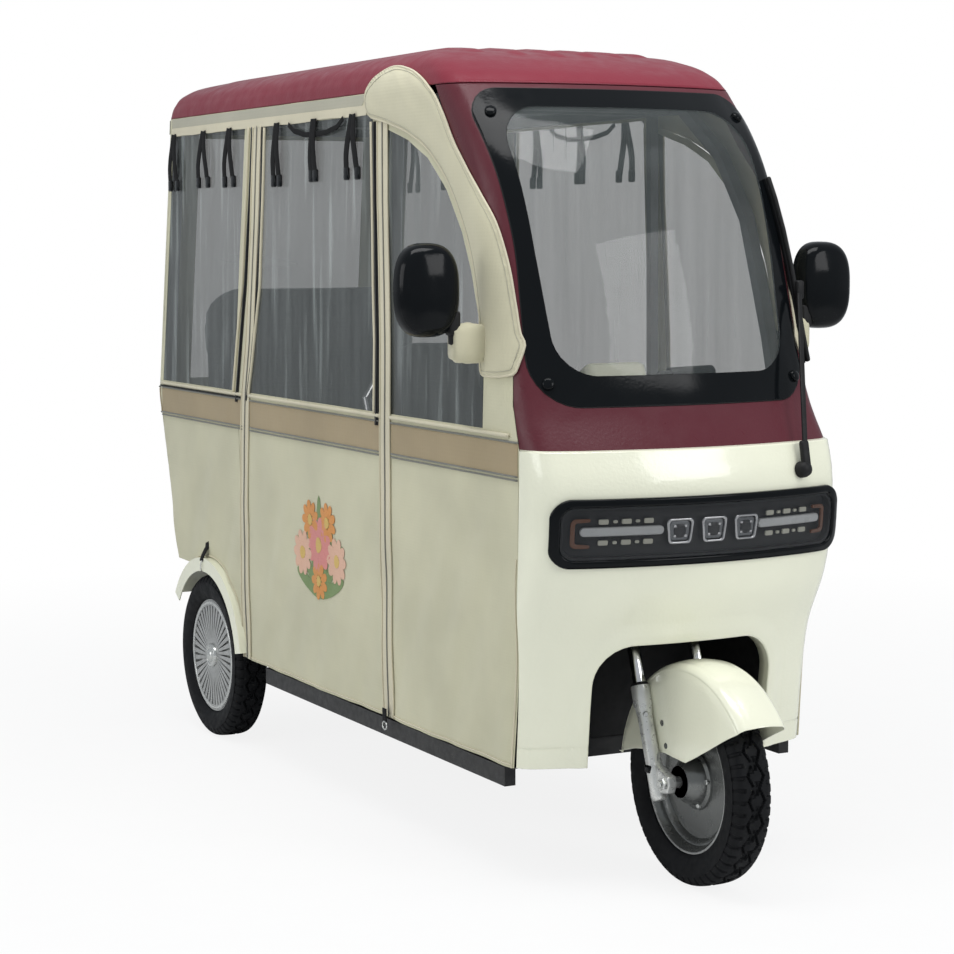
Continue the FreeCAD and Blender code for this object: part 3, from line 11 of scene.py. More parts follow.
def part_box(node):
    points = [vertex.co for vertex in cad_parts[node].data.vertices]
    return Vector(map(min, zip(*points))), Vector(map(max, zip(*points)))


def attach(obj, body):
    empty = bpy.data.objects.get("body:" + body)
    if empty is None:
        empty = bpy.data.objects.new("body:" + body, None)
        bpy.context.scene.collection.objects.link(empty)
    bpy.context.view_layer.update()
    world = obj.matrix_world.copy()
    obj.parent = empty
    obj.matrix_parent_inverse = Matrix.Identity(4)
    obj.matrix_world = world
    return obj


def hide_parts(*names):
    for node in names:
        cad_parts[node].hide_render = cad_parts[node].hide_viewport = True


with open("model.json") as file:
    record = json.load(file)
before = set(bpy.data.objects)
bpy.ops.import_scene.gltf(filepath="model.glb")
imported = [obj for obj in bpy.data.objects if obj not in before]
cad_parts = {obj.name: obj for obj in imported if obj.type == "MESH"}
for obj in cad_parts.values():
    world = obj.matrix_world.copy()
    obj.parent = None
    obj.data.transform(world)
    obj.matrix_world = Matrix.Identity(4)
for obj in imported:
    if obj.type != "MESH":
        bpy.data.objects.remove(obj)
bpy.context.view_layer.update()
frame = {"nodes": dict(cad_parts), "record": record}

# Everything ends in metres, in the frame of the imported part: +X is the vehicle's left, the front faces -Y.
nodes = frame["nodes"]

# Colours, as linear RGB
CREAM = (0.85, 0.85, 0.68)
CREAM_CLOTH = (0.55, 0.53, 0.375)
CREAM_TAPE = (0.60, 0.555, 0.41)
TAN = (0.335, 0.262, 0.150)
PIPING_GREY = (0.17, 0.17, 0.15)
BURGUNDY = (0.20, 0.024, 0.040)
BURGUNDY_SHADED = (0.095, 0.020, 0.028)
GLOSS_BLACK = (0.004, 0.005, 0.006)
MATTE_BLACK = (0.009, 0.009, 0.0095)
RUBBER = (0.0052, 0.0056, 0.0066)
SILVER = (0.47, 0.475, 0.465)
CAST_SILVER = (0.70, 0.705, 0.68)
CHROME = (0.78, 0.78, 0.79)
SEAT_GREY = (0.055, 0.053, 0.055)
LINER_GREY = (0.34, 0.34, 0.34)
TUBE_GREY = (0.14, 0.14, 0.145)


class Graph:
    """A material's node tree, with short calls for the nodes that repeat."""

    def __init__(self, name):
        self.material = bpy.data.materials.new(name)
        self.material.use_nodes = True
        self.tree = self.material.node_tree
        self.tree.nodes.clear()
        self.output = self.tree.nodes.new("ShaderNodeOutputMaterial")
        self.place = self.tree.nodes.new("ShaderNodeTexCoord").outputs["Object"]

    def feed(self, socket, value):
        if isinstance(value, bpy.types.NodeSocket):
            self.tree.links.new(value, socket)
        elif socket.type == "RGBA":
            socket.default_value = (*value, 1.0)
        else:
            socket.default_value = value

    def add(self, kind, settings=None, **inputs):
        """A node with its settings and inputs; i3 is input 3, and an underscore stands for a space."""
        node = self.tree.nodes.new(kind)
        for key, value in (settings or {}).items():
            setattr(node, key, value)
        for key, value in inputs.items():
            self.feed(node.inputs[int(key[1:]) if key[1:].isdigit() else key.replace("_", " ")], value)
        return node

    def scaled(self, x, y, z):
        return self.add("ShaderNodeMapping", i0=self.place, i3=(x, y, z)).outputs[0]

    def noise(self, scale, detail=2.0, vector=None):
        return self.add("ShaderNodeTexNoise", Scale=scale, Detail=detail,
                        Vector=vector or self.place).outputs[0]

    def remap(self, value, low, high, start=0.3, end=0.7):
        return self.add("ShaderNodeMapRange", i0=value, i1=start, i2=end, i3=low, i4=high).outputs[0]

    def maths(self, operation, first, second=0.0):
        return self.add("ShaderNodeMath", {"operation": operation}, i0=first, i1=second).outputs[0]

    def blend(self, share, first, second):
        return self.add("ShaderNodeMix", {"data_type": "RGBA"}, i0=share, i6=first, i7=second).outputs[2]

    def drift(self, scale, detail, colour, darker, lighter):
        """A colour that wanders slowly between a darker and a lighter tint."""
        share = self.remap(self.noise(scale, detail), 0.0, 1.0)
        return self.blend(share, tinted(colour, darker), tinted(colour, lighter))

    def bump(self, height, distance, strength=1.0, normal=None):
        under = {"Normal": normal} if normal else {}
        return self.add("ShaderNodeBump", Height=height, Distance=distance, Strength=strength,
                        **under).outputs[0]

    def finish(self, colour, roughness, normal=None, **constants):
        if normal:
            constants["Normal"] = normal
        shader = self.add("ShaderNodeBsdfPrincipled", Base_Color=colour, Roughness=roughness, **constants)
        self.feed(self.output.inputs[0], shader.outputs[0])
        return self.material


def tinted(colour, factor):
    """A colour made darker or lighter."""
    return tuple(min(1.0, channel * factor) for channel in colour)


def painted(name, colour, rough=0.25, coat=0.0, metallic=0.0, peel=0.0004, specular=0.5):
    """Sprayed or moulded gloss finish: slow colour drift, uneven polish and a little orange peel."""
    g = Graph(name)
    base = g.drift(2.3, 3.0, colour, 0.95, 1.05)
    polish = g.remap(g.noise(26.0, 4.0), rough * 0.8, rough * 1.25)
    skin = g.bump(g.noise(140.0), peel)
    return g.finish(base, polish, skin, Coat_Weight=coat, Coat_Roughness=0.06, Metallic=metallic,
                    Specular_IOR_Level=specular)


def moulded(name, colour, rough=0.55, grain=900.0, depth=0.00025, specular=0.4):
    """Grained black plastic, coated steel or rubber."""
    g = Graph(name)
    base = g.drift(11.0, 4.0, colour, 0.8, 1.25)
    polish = g.remap(g.noise(60.0, 3.0), rough * 0.85, min(1.0, rough * 1.15))
    return g.finish(base, polish, g.bump(g.noise(grain), depth), Specular_IOR_Level=specular)


def brushed(name, colour, rough=0.3, metallic=1.0, depth=0.00008):
    """Cast or plated metal with fine marks and duller patches."""
    g = Graph(name)
    base = g.drift(30.0, 5.0, colour, 0.86, 1.06)
    polish = g.remap(g.noise(90.0, 4.0), rough * 0.75, rough * 1.4)
    return g.finish(base, polish, g.bump(g.noise(420.0, 3.0), depth), Metallic=metallic)


def woven(name, colour, pitch=0.0012, rough=0.8, sheen=0.25):
    """Coated canvas: crossed threads with painted shade in their gaps, slow fading and faint creases."""
    g = Graph(name)
    warp, weft = (g.add("ShaderNodeTexWave", {"bands_direction": way}, Vector=g.place, Scale=0.05 / pitch,
                        Distortion=0.4).outputs["Fac"] for way in "YZ")
    threads = g.maths("MULTIPLY", warp, weft)
    base = g.drift(5.0, 4.0, colour, 0.92, 1.07)
    # Darker in the gaps between the threads: painted shade in the weave.
    base = g.blend(g.remap(threads, 0.0, 0.12, 0.0, 1.0), base, tinted(colour, 0.8))
    crease = g.bump(g.noise(18.0, 5.0), 0.0015, 0.6)
    return g.finish(base, rough, g.bump(threads, 0.00012, 1.0, crease), Sheen_Weight=sheen,
                    Sheen_Roughness=0.5, Specular_IOR_Level=0.25)


def clear_film(name, tint, alpha, rough, streak, crease=0.0):
    """Tinted clear sheet, a little cloudier along its streaks; painted highlights make it lighter along the
    streaks and much lighter along its folds.
    """
    g = Graph(name)
    lines = g.noise(1.0, 4.0, g.scaled(1.0, 26.0, 1.6))
    cloud = g.remap(lines, alpha - streak, alpha + streak)
    polish = g.remap(g.noise(35.0, 4.0), rough * 0.6, rough * 1.5)
    # Lighter along the streaks: painted highlight.
    base = g.blend(g.remap(lines, 0.0, 1.0), tinted(tint, 0.8), tinted(tint, 1.3))
    # Much lighter along the folds, as far as crease allows: painted highlight.
    folds = g.noise(1.0, 3.0, g.scaled(1.0, 38.0, 2.6))
    base = g.blend(g.remap(folds, 0.0, crease, 0.56, 0.74), base, tinted(tint, 4.2))
    return g.finish(base, polish, Alpha=cloud, Specular_IOR_Level=0.5)


cream_gloss = painted("cream_gloss", CREAM, rough=0.2, coat=0.5)
burgundy = painted("burgundy", BURGUNDY, rough=0.36, specular=0.25)
# A darker copy of the burgundy for the windscreen surround: painted shade.
shaded_burgundy = painted("shaded_burgundy", BURGUNDY_SHADED, rough=0.34, specular=0.22)
black_gloss = painted("black_gloss", GLOSS_BLACK, rough=0.12, peel=0.0001, specular=0.13)
black_matte = moulded("black_matte", MATTE_BLACK, specular=0.25)
frame_black = moulded("frame_black", MATTE_BLACK, rough=0.45, grain=300.0)
tube_grey = moulded("tube_grey", TUBE_GREY, rough=0.45, grain=300.0)
rubber = moulded("rubber", RUBBER, rough=0.62, grain=700.0, depth=0.0003, specular=0.16)
floor_rubber = moulded("floor_rubber", MATTE_BLACK, rough=0.7, grain=160.0, depth=0.0008)
silver = brushed("silver", SILVER, rough=0.38, metallic=0.75)
chrome = brushed("chrome", CHROME, rough=0.12)
mirror = brushed("mirror", (0.85, 0.86, 0.87), rough=0.02, depth=0.00001)
canvas = woven("canvas", CREAM_CLOTH, pitch=0.0011)
tape = woven("tape", CREAM_TAPE, pitch=0.0016)
tan_cloth = woven("tan_cloth", TAN, pitch=0.0014)
liner = woven("liner", LINER_GREY, pitch=0.002, sheen=0.4)
seat_cloth = woven("seat_cloth", SEAT_GREY, pitch=0.0018, rough=0.6, sheen=0.15)
# crease sets the film's painted highlight along its folds.
film = clear_film("film", (0.105, 0.115, 0.112), 0.64, 0.13, 0.035, crease=0.6)
shield = clear_film("shield", (0.10, 0.115, 0.115), 0.22, 0.03, 0.02)
smoke = clear_film("smoke", (0.012, 0.014, 0.017), 0.36, 0.04, 0.02)
piping_grey = woven("piping_grey", PIPING_GREY)
header_cloth = woven("header_cloth", (0.40, 0.385, 0.30))
flap_cloth = woven("flap_cloth", (0.56, 0.53, 0.38))
webbing = woven("webbing", (0.006, 0.006, 0.0065), pitch=0.0022, sheen=0.0)
leaf_print = woven("leaf_print", (0.16, 0.24, 0.08))
pink_print = woven("pink_print", (0.62, 0.22, 0.20))
peach_print = woven("peach_print", (0.66, 0.40, 0.28))
orange_print = woven("orange_print", (0.62, 0.25, 0.05))
core_print = woven("core_print", (0.60, 0.40, 0.10))
zip_teeth = moulded("zip_teeth", (0.05, 0.05, 0.052), rough=0.35)
wheel_grey = painted("wheel_grey", (0.17, 0.175, 0.17), rough=0.24, metallic=0.7)
cast_silver = brushed("cast_silver", CAST_SILVER, rough=0.3, metallic=0.55)
bright = brushed("bright", (0.62, 0.63, 0.61), rough=0.24, metallic=0.85)
lamp_grey = moulded("lamp_grey", (0.024, 0.025, 0.026), rough=0.4)
diffuser = painted("diffuser", (0.62, 0.63, 0.63), rough=0.3, peel=0.0002)
chip_white = painted("chip_white", (0.58, 0.57, 0.48), peel=0.0001)
amber = painted("amber", (0.17, 0.066, 0.03), rough=0.2, coat=0.4)
crystal = painted("crystal", (0.20, 0.21, 0.22), rough=0.06, coat=0.6, metallic=0.6, peel=0.0001)
dark_glass = painted("dark_glass", (0.01, 0.012, 0.014), rough=0.05, coat=0.6, peel=0.0001)
red_lens = painted("red_lens", (0.35, 0.012, 0.012), rough=0.12, coat=0.5)
battery_grey = moulded("battery_grey", (0.14, 0.14, 0.15))

# The finishes of each slot of the record; the first one goes on the nodes that are carried over
FINISHES = {
    "frame_black": [frame_black], "tube_grey": [tube_grey], "cream_gloss": [cream_gloss],
    "burgundy": [burgundy, shaded_burgundy], "black_gloss": [black_gloss],
    "black_matte": [black_matte, webbing, zip_teeth], "glass_clear": [shield], "lens_smoke": [smoke],
    "lamp_mix": [black_gloss, lamp_grey, diffuser, chip_white, amber, crystal, dark_glass],
    "mirror_glass": [mirror], "pvc_clear": [film], "liner_grey": [liner], "seat_dark": [seat_cloth],
    "curtain_cream": [canvas, tape, tan_cloth, piping_grey, header_cloth, flap_cloth, leaf_print,
                      pink_print, peach_print, orange_print, core_print],
    "floor_black": [floor_rubber], "chrome": [chrome], "tyre_black": [rubber], "red_lens": [red_lens],
    "alloy": [silver, bright, wheel_grey, cast_silver], "battery_grey": [battery_grey],
}
SLOT_OF = {}
for slot, finishes in FINISHES.items():
    for material in finishes:
        SLOT_OF.setdefault(material.name, slot)
for subpart in frame["record"]["subparts"]:
    node = nodes[subpart["node"]]
    node.data.materials.clear()
    node.data.materials.append(FINISHES[subpart["material_slot"]][0])

# Lines and sections of the cab as drawn, in millimetres; a station is a distance behind the front axle
MID_STATION = 1014.5
SKIRT, BELT, EAVES, ROOF_RISE = 245.0, 898.0, 1640.0, 92.0
NOSE_LEAD, BOW_RADIUS, CORNER_RUN, REAR_CORNER = 52.0, 900.0, 156.0, 60.0
FAIRING_PROFILE = ((0.0, 114), (0.24, 98), (0.4, 78), (0.575, 24), (0.76, 0), (0.93, 4), (1.0, 18))
SHIELD_PROFILE = ((0.0, 32), (0.094, 80), (0.217, 119), (0.356, 150), (0.496, 178),
                  (0.623, 207), (0.753, 249), (0.865, 307), (1.0, 404))
ROOF_PROFILE = ((0.0, 0, 0), (0.36, 48, 9), (0.68, 128, 32), (0.88, 218, 70), (1.0, 330, 118))
SEAM = ((149, 245), (131, 431), (109, 678), (104, 898))
PILLAR_LINE = ((104, 898), (140, 985), (157, 1080), (172, 1180), (199, 1267), (237, 1350),
               (287, 1411), (344, 1464), (402, 1518), (450, 1575), (495, 1640))
FLAP_INNER = ((240, 1048), (252, 1092), (267, 1173), (302, 1264), (347, 1345), (415, 1429),
              (509, 1500), (607, 1541), (708, 1567), (776, 1580))
FRONT_ZIP = ((740, 245), (734, 898), (779, 1640))
REAR_ZIP = ((1598, 245), (1622, 898), (1540, 1640))
REAR_SEAM = ((2081, 450), (2202, 898), (2105.5, 1640))
SIDE_LINE = ((245, 354), (653, 360), (898, 360), (1640, 350))
SIDES = ((-1, "right"), (1, "left"))
MM = 0.001
FRONT_AXLE_Y = -1.0145


def hermite(t, run, start, start_slope, end, end_slope):
    """A smooth step over a run between two values with their slopes."""
    return ((2 * t**3 - 3 * t**2 + 1) * start + (t**3 - 2 * t**2 + t) * run * start_slope
            + (3 * t**2 - 2 * t**3) * end + (t**3 - t**2) * run * end_slope)


def between(xs, key):
    """The interval of a rising list that holds a key, and how far along it the key lies."""
    i = np.clip(np.searchsorted(xs, key) - 1, 0, len(xs) - 2)
    return i, (key - xs[i]) / (xs[i + 1] - xs[i])


def smooth_curve(table, key, column):
    """Value of a table's column at a key, on a smooth line through its rows."""
    xs = np.array([row[0] for row in table], float)
    ys = np.array([row[column] for row in table], float)
    slopes = np.gradient(ys, xs)
    i, t = between(xs, np.clip(key, xs[0], xs[-1]))
    return hermite(t, xs[i + 1] - xs[i], ys[i], slopes[i], ys[i + 1], slopes[i + 1])


def line_at(line, height):
    """Station of a side-view line at a height."""
    return np.interp(height, [z for _, z in line], [s for s, _ in line])


def cab_level(z, upper):
    """Front station, half width and back station of the cab's outline at a height."""
    if not upper:
        share = (z - SKIRT) / (BELT - SKIRT)
        return (smooth_curve(FAIRING_PROFILE, share, 1) - NOSE_LEAD, 354 + 6 * min(1, 1.6 * share),
                2262 - 0.27 * (BELT - z))
    share = min(1, (z - BELT) / (EAVES - BELT))
    front = smooth_curve(SHIELD_PROFILE, share, 1) - NOSE_LEAD
    half, back = 360 - 10 * share, 2262 - 0.13 * (min(z, EAVES) - BELT)
    if z > EAVES:
        rise = (z - EAVES) / ROOF_RISE
        front += smooth_curve(ROOF_PROFILE, rise, 1)
        narrowing = smooth_curve(ROOF_PROFILE, rise, 2)
        half, back = half - narrowing, back - narrowing
    return front, half, back


def half_plan(front, half, back):
    """The outline of one level, from the middle of the front round the +X side to the middle of the back."""
    knots = [(0, front)]
    for share, lag in ((0.52, 0), (0.82, 0), (0.93, 6), (0.972, 22)):
        x = half * share
        knots.append((x, front + x * x / (2 * BOW_RADIUS) + lag))
    knots = np.array(knots + [(half, front + CORNER_RUN)], float)
    gaps = np.linalg.norm(np.diff(knots, axis=0), axis=1)
    slopes = np.gradient(knots, np.concatenate([[0], np.cumsum(gaps)]), axis=0)
    slopes[0], slopes[-1] = (1, 0), (0, 1)
    points = [hermite(t, run, knots[i], slopes[i], knots[i + 1], slopes[i + 1])
              for i, run in enumerate(gaps) for t in np.linspace(0, 1, 12, endpoint=False)]
    turn = back - REAR_CORNER
    points += [(half, s) for s in np.linspace(front + CORNER_RUN, turn, 40, endpoint=False)]
    points += [(half - REAR_CORNER * (1 - math.cos(a)), turn + REAR_CORNER * math.sin(a))
               for a in np.linspace(0, math.pi / 2, 12, endpoint=False)]
    points += [(x, back) for x in np.linspace(half - REAR_CORNER, 0, 10)]
    return np.array(points)


def unit(rows):
    """Each row as a vector of length one."""
    return rows / np.linalg.norm(rows, axis=1)[:, None]


class Skin:
    """The cab's outer surface over a run along its outline and a height, both in millimetres."""

    NORMAL_REACH, FRONT_RUN, SIDE_RUN = 7.0, 400, 2400

    def __init__(self, low, high, upper, middle):
        def plan(z):
            return half_plan(*cab_level(z, z > BELT if upper is None else upper))
        self.heights = np.linspace(low, high, int((high - low) / 5) + 2)
        right = np.array([plan(z) for z in self.heights])
        self.grid = np.concatenate([right[:, :0:-1] * (-1, 1), right], axis=1)
        steps = np.linalg.norm(np.diff(plan(middle), axis=0), axis=1)
        run = np.concatenate([[0], np.cumsum(steps)])
        self.run = np.concatenate([-run[:0:-1], run])

    def at(self, run, height, lift=None):
        """Points of the surface, raised outwards by lift(run, height)."""
        run, height = np.asarray(run, float), np.asarray(height, float)
        if lift is None:
            return self.bare(run, height)
        return self.bare(run, height) + self.normal(run, height) * lift(run, height)[:, None]

    def bare(self, run, height):
        i, u = between(self.run, run)
        k, v = between(self.heights, height)
        u, v, g = np.clip(u, 0, 1)[:, None], v[:, None], self.grid
        flat = ((g[k, i] * (1 - u) + g[k, i + 1] * u) * (1 - v)
                + (g[k + 1, i] * (1 - u) + g[k + 1, i + 1] * u) * v)
        return np.column_stack([flat, height])

    def normal(self, run, height):
        reach = self.NORMAL_REACH
        along = self.bare(run + reach, height) - self.bare(run - reach, height)
        upward = (self.bare(run, np.minimum(height + reach, self.heights[-1]))
                  - self.bare(run, np.maximum(height - reach, self.heights[0])))
        return unit(np.cross(along, upward))

    def row(self, height):
        k, v = between(self.heights, height)
        return self.grid[k] * (1 - v) + self.grid[k + 1] * v

    def run_at_x(self, x, height):
        """Run of a point of the front at an X and a height."""
        front = np.abs(self.run) < self.FRONT_RUN
        return float(np.interp(x, self.row(height)[front, 0], self.run[front]))

    def run_at_station(self, station, height, sign):
        side = (self.run * sign > 0) & (np.abs(self.run) < self.SIDE_RUN)
        stations = self.row(height)[side, 1]
        order = np.argsort(stations)
        return float(np.interp(station, stations[order], self.run[side][order]))


class BackSkin(Skin):
    """The same surface with its run carried on over the middle of the back."""

    def bare(self, run, height):
        end = self.run[-1]
        return super().bare(np.where(run > end, run - 2 * end, run), height)


def front_station(height):
    """Station of the middle of the front at each height."""
    low = smooth_curve(FAIRING_PROFILE, (height - SKIRT) / (BELT - SKIRT), 1)
    high = smooth_curve(SHIELD_PROFILE, (height - BELT) / (EAVES - BELT), 1)
    return np.where(height < BELT, low, high) - NOSE_LEAD


CORNER_HALF = 357
CORNER_SHAPE = half_plan(0, CORNER_HALF, 2000)
CORNER_SHAPE = CORNER_SHAPE[(CORNER_SHAPE[:, 0] > 300) & (CORNER_SHAPE[:, 1] < 200)]


class SideSkin:
    """The flat side of the cab over a station and a height; sign picks the side."""

    def __init__(self, sign, inset=0.0):
        self.sign, self.inset = sign, inset

    def at(self, station, height, lift=None):
        station, height = np.asarray(station, float), np.asarray(height, float)
        x = np.interp(height, [z for z, _ in SIDE_LINE], [x for _, x in SIDE_LINE]) - self.inset
        # The side turns in at the front to meet the moulding
        x = x - CORNER_HALF + np.interp(station - front_station(height), CORNER_SHAPE[:, 1],
                                        CORNER_SHAPE[:, 0])
        if lift is not None:
            x = x + lift(station, height)
        return np.column_stack([x * self.sign, station, height])


def in_metres(points):
    """Drawn points, in millimetres from the front axle, in the frame of the part."""
    points = np.array(points, float)
    points[:, 1] -= MID_STATION
    return points * MM


def spot(x, station, height):
    """One drawn point as a vector in metres."""
    return Vector(in_metres([(x, station, height)])[0])


def inside(loop, points):
    """Which points lie within a closed loop."""
    x, y = points[:, 0], points[:, 1]
    hit = np.zeros(len(points), bool)
    for (x0, y0), (x1, y1) in zip(loop, np.roll(loop, -1, axis=0)):
        if y0 != y1:
            hit ^= ((y0 > y) != (y1 > y)) & (x < (x1 - x0) * (y - y0) / (y1 - y0) + x0)
    return hit


def within(loops, points):
    """Which points lie inside the first loop and outside the others."""
    keep = inside(loops[0], points)
    for hole in loops[1:]:
        keep &= ~inside(hole, points)
    return keep


def nearest(points, others):
    """Each point's distance from the nearest of the others."""
    return np.array([np.min(np.hypot(*(others - p).T)) for p in points])


def divided(points, step, closed=True):
    """The same line with points no further apart than a step."""
    points = [np.array(p, float) for p in points]
    ends = points[1:] + points[:1] if closed else points[1:]
    out = []
    for a, b in zip(points, ends):
        count = max(1, math.ceil(np.linalg.norm(b - a) / step))
        out += [a + (b - a) * k / count for k in range(count)]
    return np.array(out if closed else out + points[-1:])


def rounded(points, radii):
    """A closed polygon with its corners rounded; one radius for each corner."""
    out = []
    for i, (point, radius) in enumerate(zip(points, radii)):
        a, p, b = (np.array(q, float) for q in (points[i - 1], point, points[(i + 1) % len(points)]))
        if radius <= 0:
            out.append(p)
            continue
        ua, ub = (a - p) / np.linalg.norm(a - p), (b - p) / np.linalg.norm(b - p)
        angle = math.acos(np.clip(ua @ ub, -1, 1))
        reach = radius / math.tan(angle / 2)
        middle = (ua + ub) / np.linalg.norm(ua + ub) * radius / math.sin(angle / 2) + p
        start, end = p + ua * reach, p + ub * reach
        for t in np.linspace(0, 1, 9):
            way = start * (1 - t) + end * t - middle
            out.append(middle + way / np.linalg.norm(way) * radius)
    return np.array(out)


def soft_loop(points, step):
    """A closed curve through points, with points no further apart than a step."""
    points = [np.array(p, float) for p in points]
    count, out = len(points), []
    for i in range(count):
        a, b, c, d = (points[(i + k) % count] for k in (-1, 0, 1, 2))
        reach = np.linalg.norm(c - b)
        leaving = (c - a) / (np.linalg.norm(b - a) + reach)
        arriving = (d - b) / (np.linalg.norm(d - c) + reach)
        out += [hermite(t, reach, b, leaving, c, arriving)
                for t in np.linspace(0, 1, max(2, int(reach / step) + 1), endpoint=False)]
    return out


def arc(station, height, radius, start, end, count):
    """Points of a side-view arc, between angles in degrees."""
    return [(station + radius * math.cos(a), height + radius * math.sin(a))
            for a in np.linspace(math.radians(start), math.radians(end), count)]


def circle(count):
    """Evenly spaced angles of a full turn."""
    return (2 * math.pi * k / count for k in range(count))


def on_side(sign, points):
    """Points given for the left side, mirrored where the sign is negative."""
    return [(sign * x, y, z) for x, y, z in points]


def grid_faces(rows, count, ring=True, wrap=False):
    """Quads between rows of points; a ring closes each row, wrap joins the last row to the first."""
    faces = []
    for i in range(rows if wrap else rows - 1):
        j = (i + 1) % rows
        for k in range(count if ring else count - 1):
            m = (k + 1) % count
            faces.append((i * count + k, i * count + m, j * count + m, j * count + k))
    return faces


def end_faces(rows, count):
    """The caps over the first and the last row."""
    last = (rows - 1) * count
    return [tuple(range(count))[::-1], tuple(range(last, last + count))]


def new_piece(name, vertices, faces, material, body="cab", slot=None, normals=None):
    mesh = bpy.data.meshes.new(name)
    mesh.from_pydata([tuple(v) for v in vertices], [], [tuple(int(i) for i in f) for f in faces])
    mesh.materials.append(material)
    mesh.polygons.foreach_set("use_smooth", [True] * len(mesh.polygons))
    if normals is not None:
        mesh.normals_split_custom_set_from_vertices([tuple(n) for n in normals])
    piece = bpy.data.objects.new(name, mesh)
    bpy.context.collection.objects.link(piece)
    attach(piece, body)
    slot or SLOT_OF[material.name]
    return piece


def crisp(piece, degrees):
    """Splits the shading at edges sharper than an angle."""
    split = piece.modifiers.new("crisp", "EDGE_SPLIT")
    split.split_angle = math.radians(degrees)


def walled(piece, thickness, offset):
    """Gives a surface a thickness."""
    wall = piece.modifiers.new("wall", "SOLIDIFY")
    wall.thickness, wall.offset = thickness, offset


def bevelled(piece, width):
    soft = piece.modifiers.new("soft", "BEVEL")
    soft.width, soft.segments, soft.limit_method = width, 2, "ANGLE"
    return soft


def cut(loops, spacing, step, extra):
    """Flat points and triangles of the sheet between an outline and its holes."""
    loops = [divided(loop, step) for loop in loops]
    border = np.concatenate(loops)
    xs, ys = (np.arange(low + spacing * 0.4, high, spacing)
              for low, high in zip(border.min(axis=0), border.max(axis=0)))
    fill = np.array([(x + (spacing / 2 if k % 2 else 0), y) for k, y in enumerate(ys) for x in xs])
    if len(extra):
        near = np.array(extra, float)
        gap = np.array([np.min(np.abs(near - p).sum(axis=1)) for p in fill])
        fill = np.concatenate([fill[gap > spacing * 0.4], near])
    fill = fill[within(loops, fill)]
    fill = fill[nearest(fill, border) > min(spacing * 0.35, step * 0.7)]
    edges, start = [], 0
    for loop in loops:
        edges += [(start + i, start + (i + 1) % len(loop)) for i in range(len(loop))]
        start += len(loop)
    flat, _, tris, *_ = delaunay_2d_cdt([Vector(p) for p in (*border, *fill)], edges, [], 0, 1e-6)
    flat = np.array([tuple(p) for p in flat])
    tris = np.array([t for t in tris if len(t) == 3])
    tris = tris[within(loops, flat[tris].mean(axis=1))]
    corner = flat[tris]
    area = np.cross(corner[:, 1] - corner[:, 0], corner[:, 2] - corner[:, 0])
    tris[area < 0] = tris[area < 0][:, ::-1]
    return flat, tris[np.abs(area) > 1e-3]


def thickened(outer, normals, tris, thickness, edge):
    """A sheet as a solid with a rounded rim: its points, faces and shading normals."""
    lines = dict.fromkeys(pair for a, b, c in tris for pair in ((a, b), (b, c), (c, a)))
    rim = [(a, b) for a, b in lines if (b, a) not in lines]
    away = np.zeros_like(outer)
    for a, b in rim:
        across = np.cross(outer[b] - outer[a], normals[a] + normals[b])
        away[[a, b]] += across / max(np.linalg.norm(across), 1e-9)
    length = np.linalg.norm(away, axis=1)
    ids = np.where(length > 1e-6)[0]
    away[ids] /= length[ids][:, None]
    place = {v: i for i, v in enumerate(ids)}
    side = math.radians(90)
    rings = [(edge * (1 - math.sin(a)), edge * (1 - math.cos(a)), a) for a in (math.radians(35), side)]
    rings.append((0.0, thickness, side))
    points, shading, starts, total = [outer - away * edge], [normals], [], len(outer)
    for inward, drop, angle in rings:
        points.append(outer[ids] - away[ids] * inward - normals[ids] * drop)
        shading.append(normals[ids] * math.cos(angle) + away[ids] * math.sin(angle))
        starts.append(total)
        total += len(ids)
    faces = [tuple(t) for t in tris]
    for a, b in rim:
        row = [(a, b)] + [(start + place[a], start + place[b]) for start in starts]
        faces += [(q, p, r, s) for (p, q), (r, s) in zip(row, row[1:])]
    faces += [(c + total, b + total, a + total) for a, b, c in tris]
    points.append(outer - normals * thickness)
    shading.append(-normals)
    return np.concatenate(points), faces, np.concatenate(shading)


def panel(name, skin, loops, material, thickness=4.0, edge=1.2, spacing=18.0, lift=None, extra=(),
          slot=None, step=None):
    """A sheet cut from a skin: the first loop is its outline, the rest are holes."""
    flat, tris = cut(loops, spacing, step or spacing * 0.5, extra)
    run, height = flat.T
    outer, reach = skin.at(run, height, lift), 2.0
    along = skin.at(run + reach, height, lift) - skin.at(run - reach, height, lift)
    upward = skin.at(run, height + reach, lift) - skin.at(run, height - reach, lift)
    normals = unit(np.cross(along, upward))
    if isinstance(skin, SideSkin) and skin.sign < 0:
        normals, tris = -normals, tris[:, ::-1]
    corner = outer[tris]
    doubled = np.linalg.norm(np.cross(corner[:, 1] - corner[:, 0], corner[:, 2] - corner[:, 0]), axis=1)
    points, faces = outer, tris
    if thickness:
        points, faces, normals = thickened(outer, normals, tris, thickness, edge)
    piece = new_piece(name, in_metres(points), faces, material, slot=slot, normals=normals)
    piece["flat_area"] = float(doubled.sum()) * 0.5 * MM**2
    return piece


def level(raised, lift=None):
    """A lift of one height everywhere, on top of another lift."""
    return lambda s, z: np.full(len(s), raised) + (lift(s, z) if lift else 0.0)


def wrinkles(seed, size, tilt=0.0):
    """A smooth field of soft folds, longer along the cloth's fall than across it."""
    shift = Vector((seed * 7.3, seed * 3.1, seed * 1.7))
    return lambda s, z: np.array([noise.noise(Vector(((a + tilt * b) / size, b / (size * 4.2), 0.0)) + shift)
                                  for a, b in zip(s, z)])


def side_lift(seed):
    """How far a hanging side panel stands out: soft slanting folds and a slack lower part."""
    broad, narrow = wrinkles(seed, 120.0, 0.55), wrinkles(seed + 5, 45.0, 0.3)
    tight_above, fall = 900, 350

    def value(s, z):
        slack = np.clip((tight_above - z) / fall, 0.15, 1.0)
        return slack * (8.0 * broad(s, z) + 1.6 * narrow(s, z))
    return value


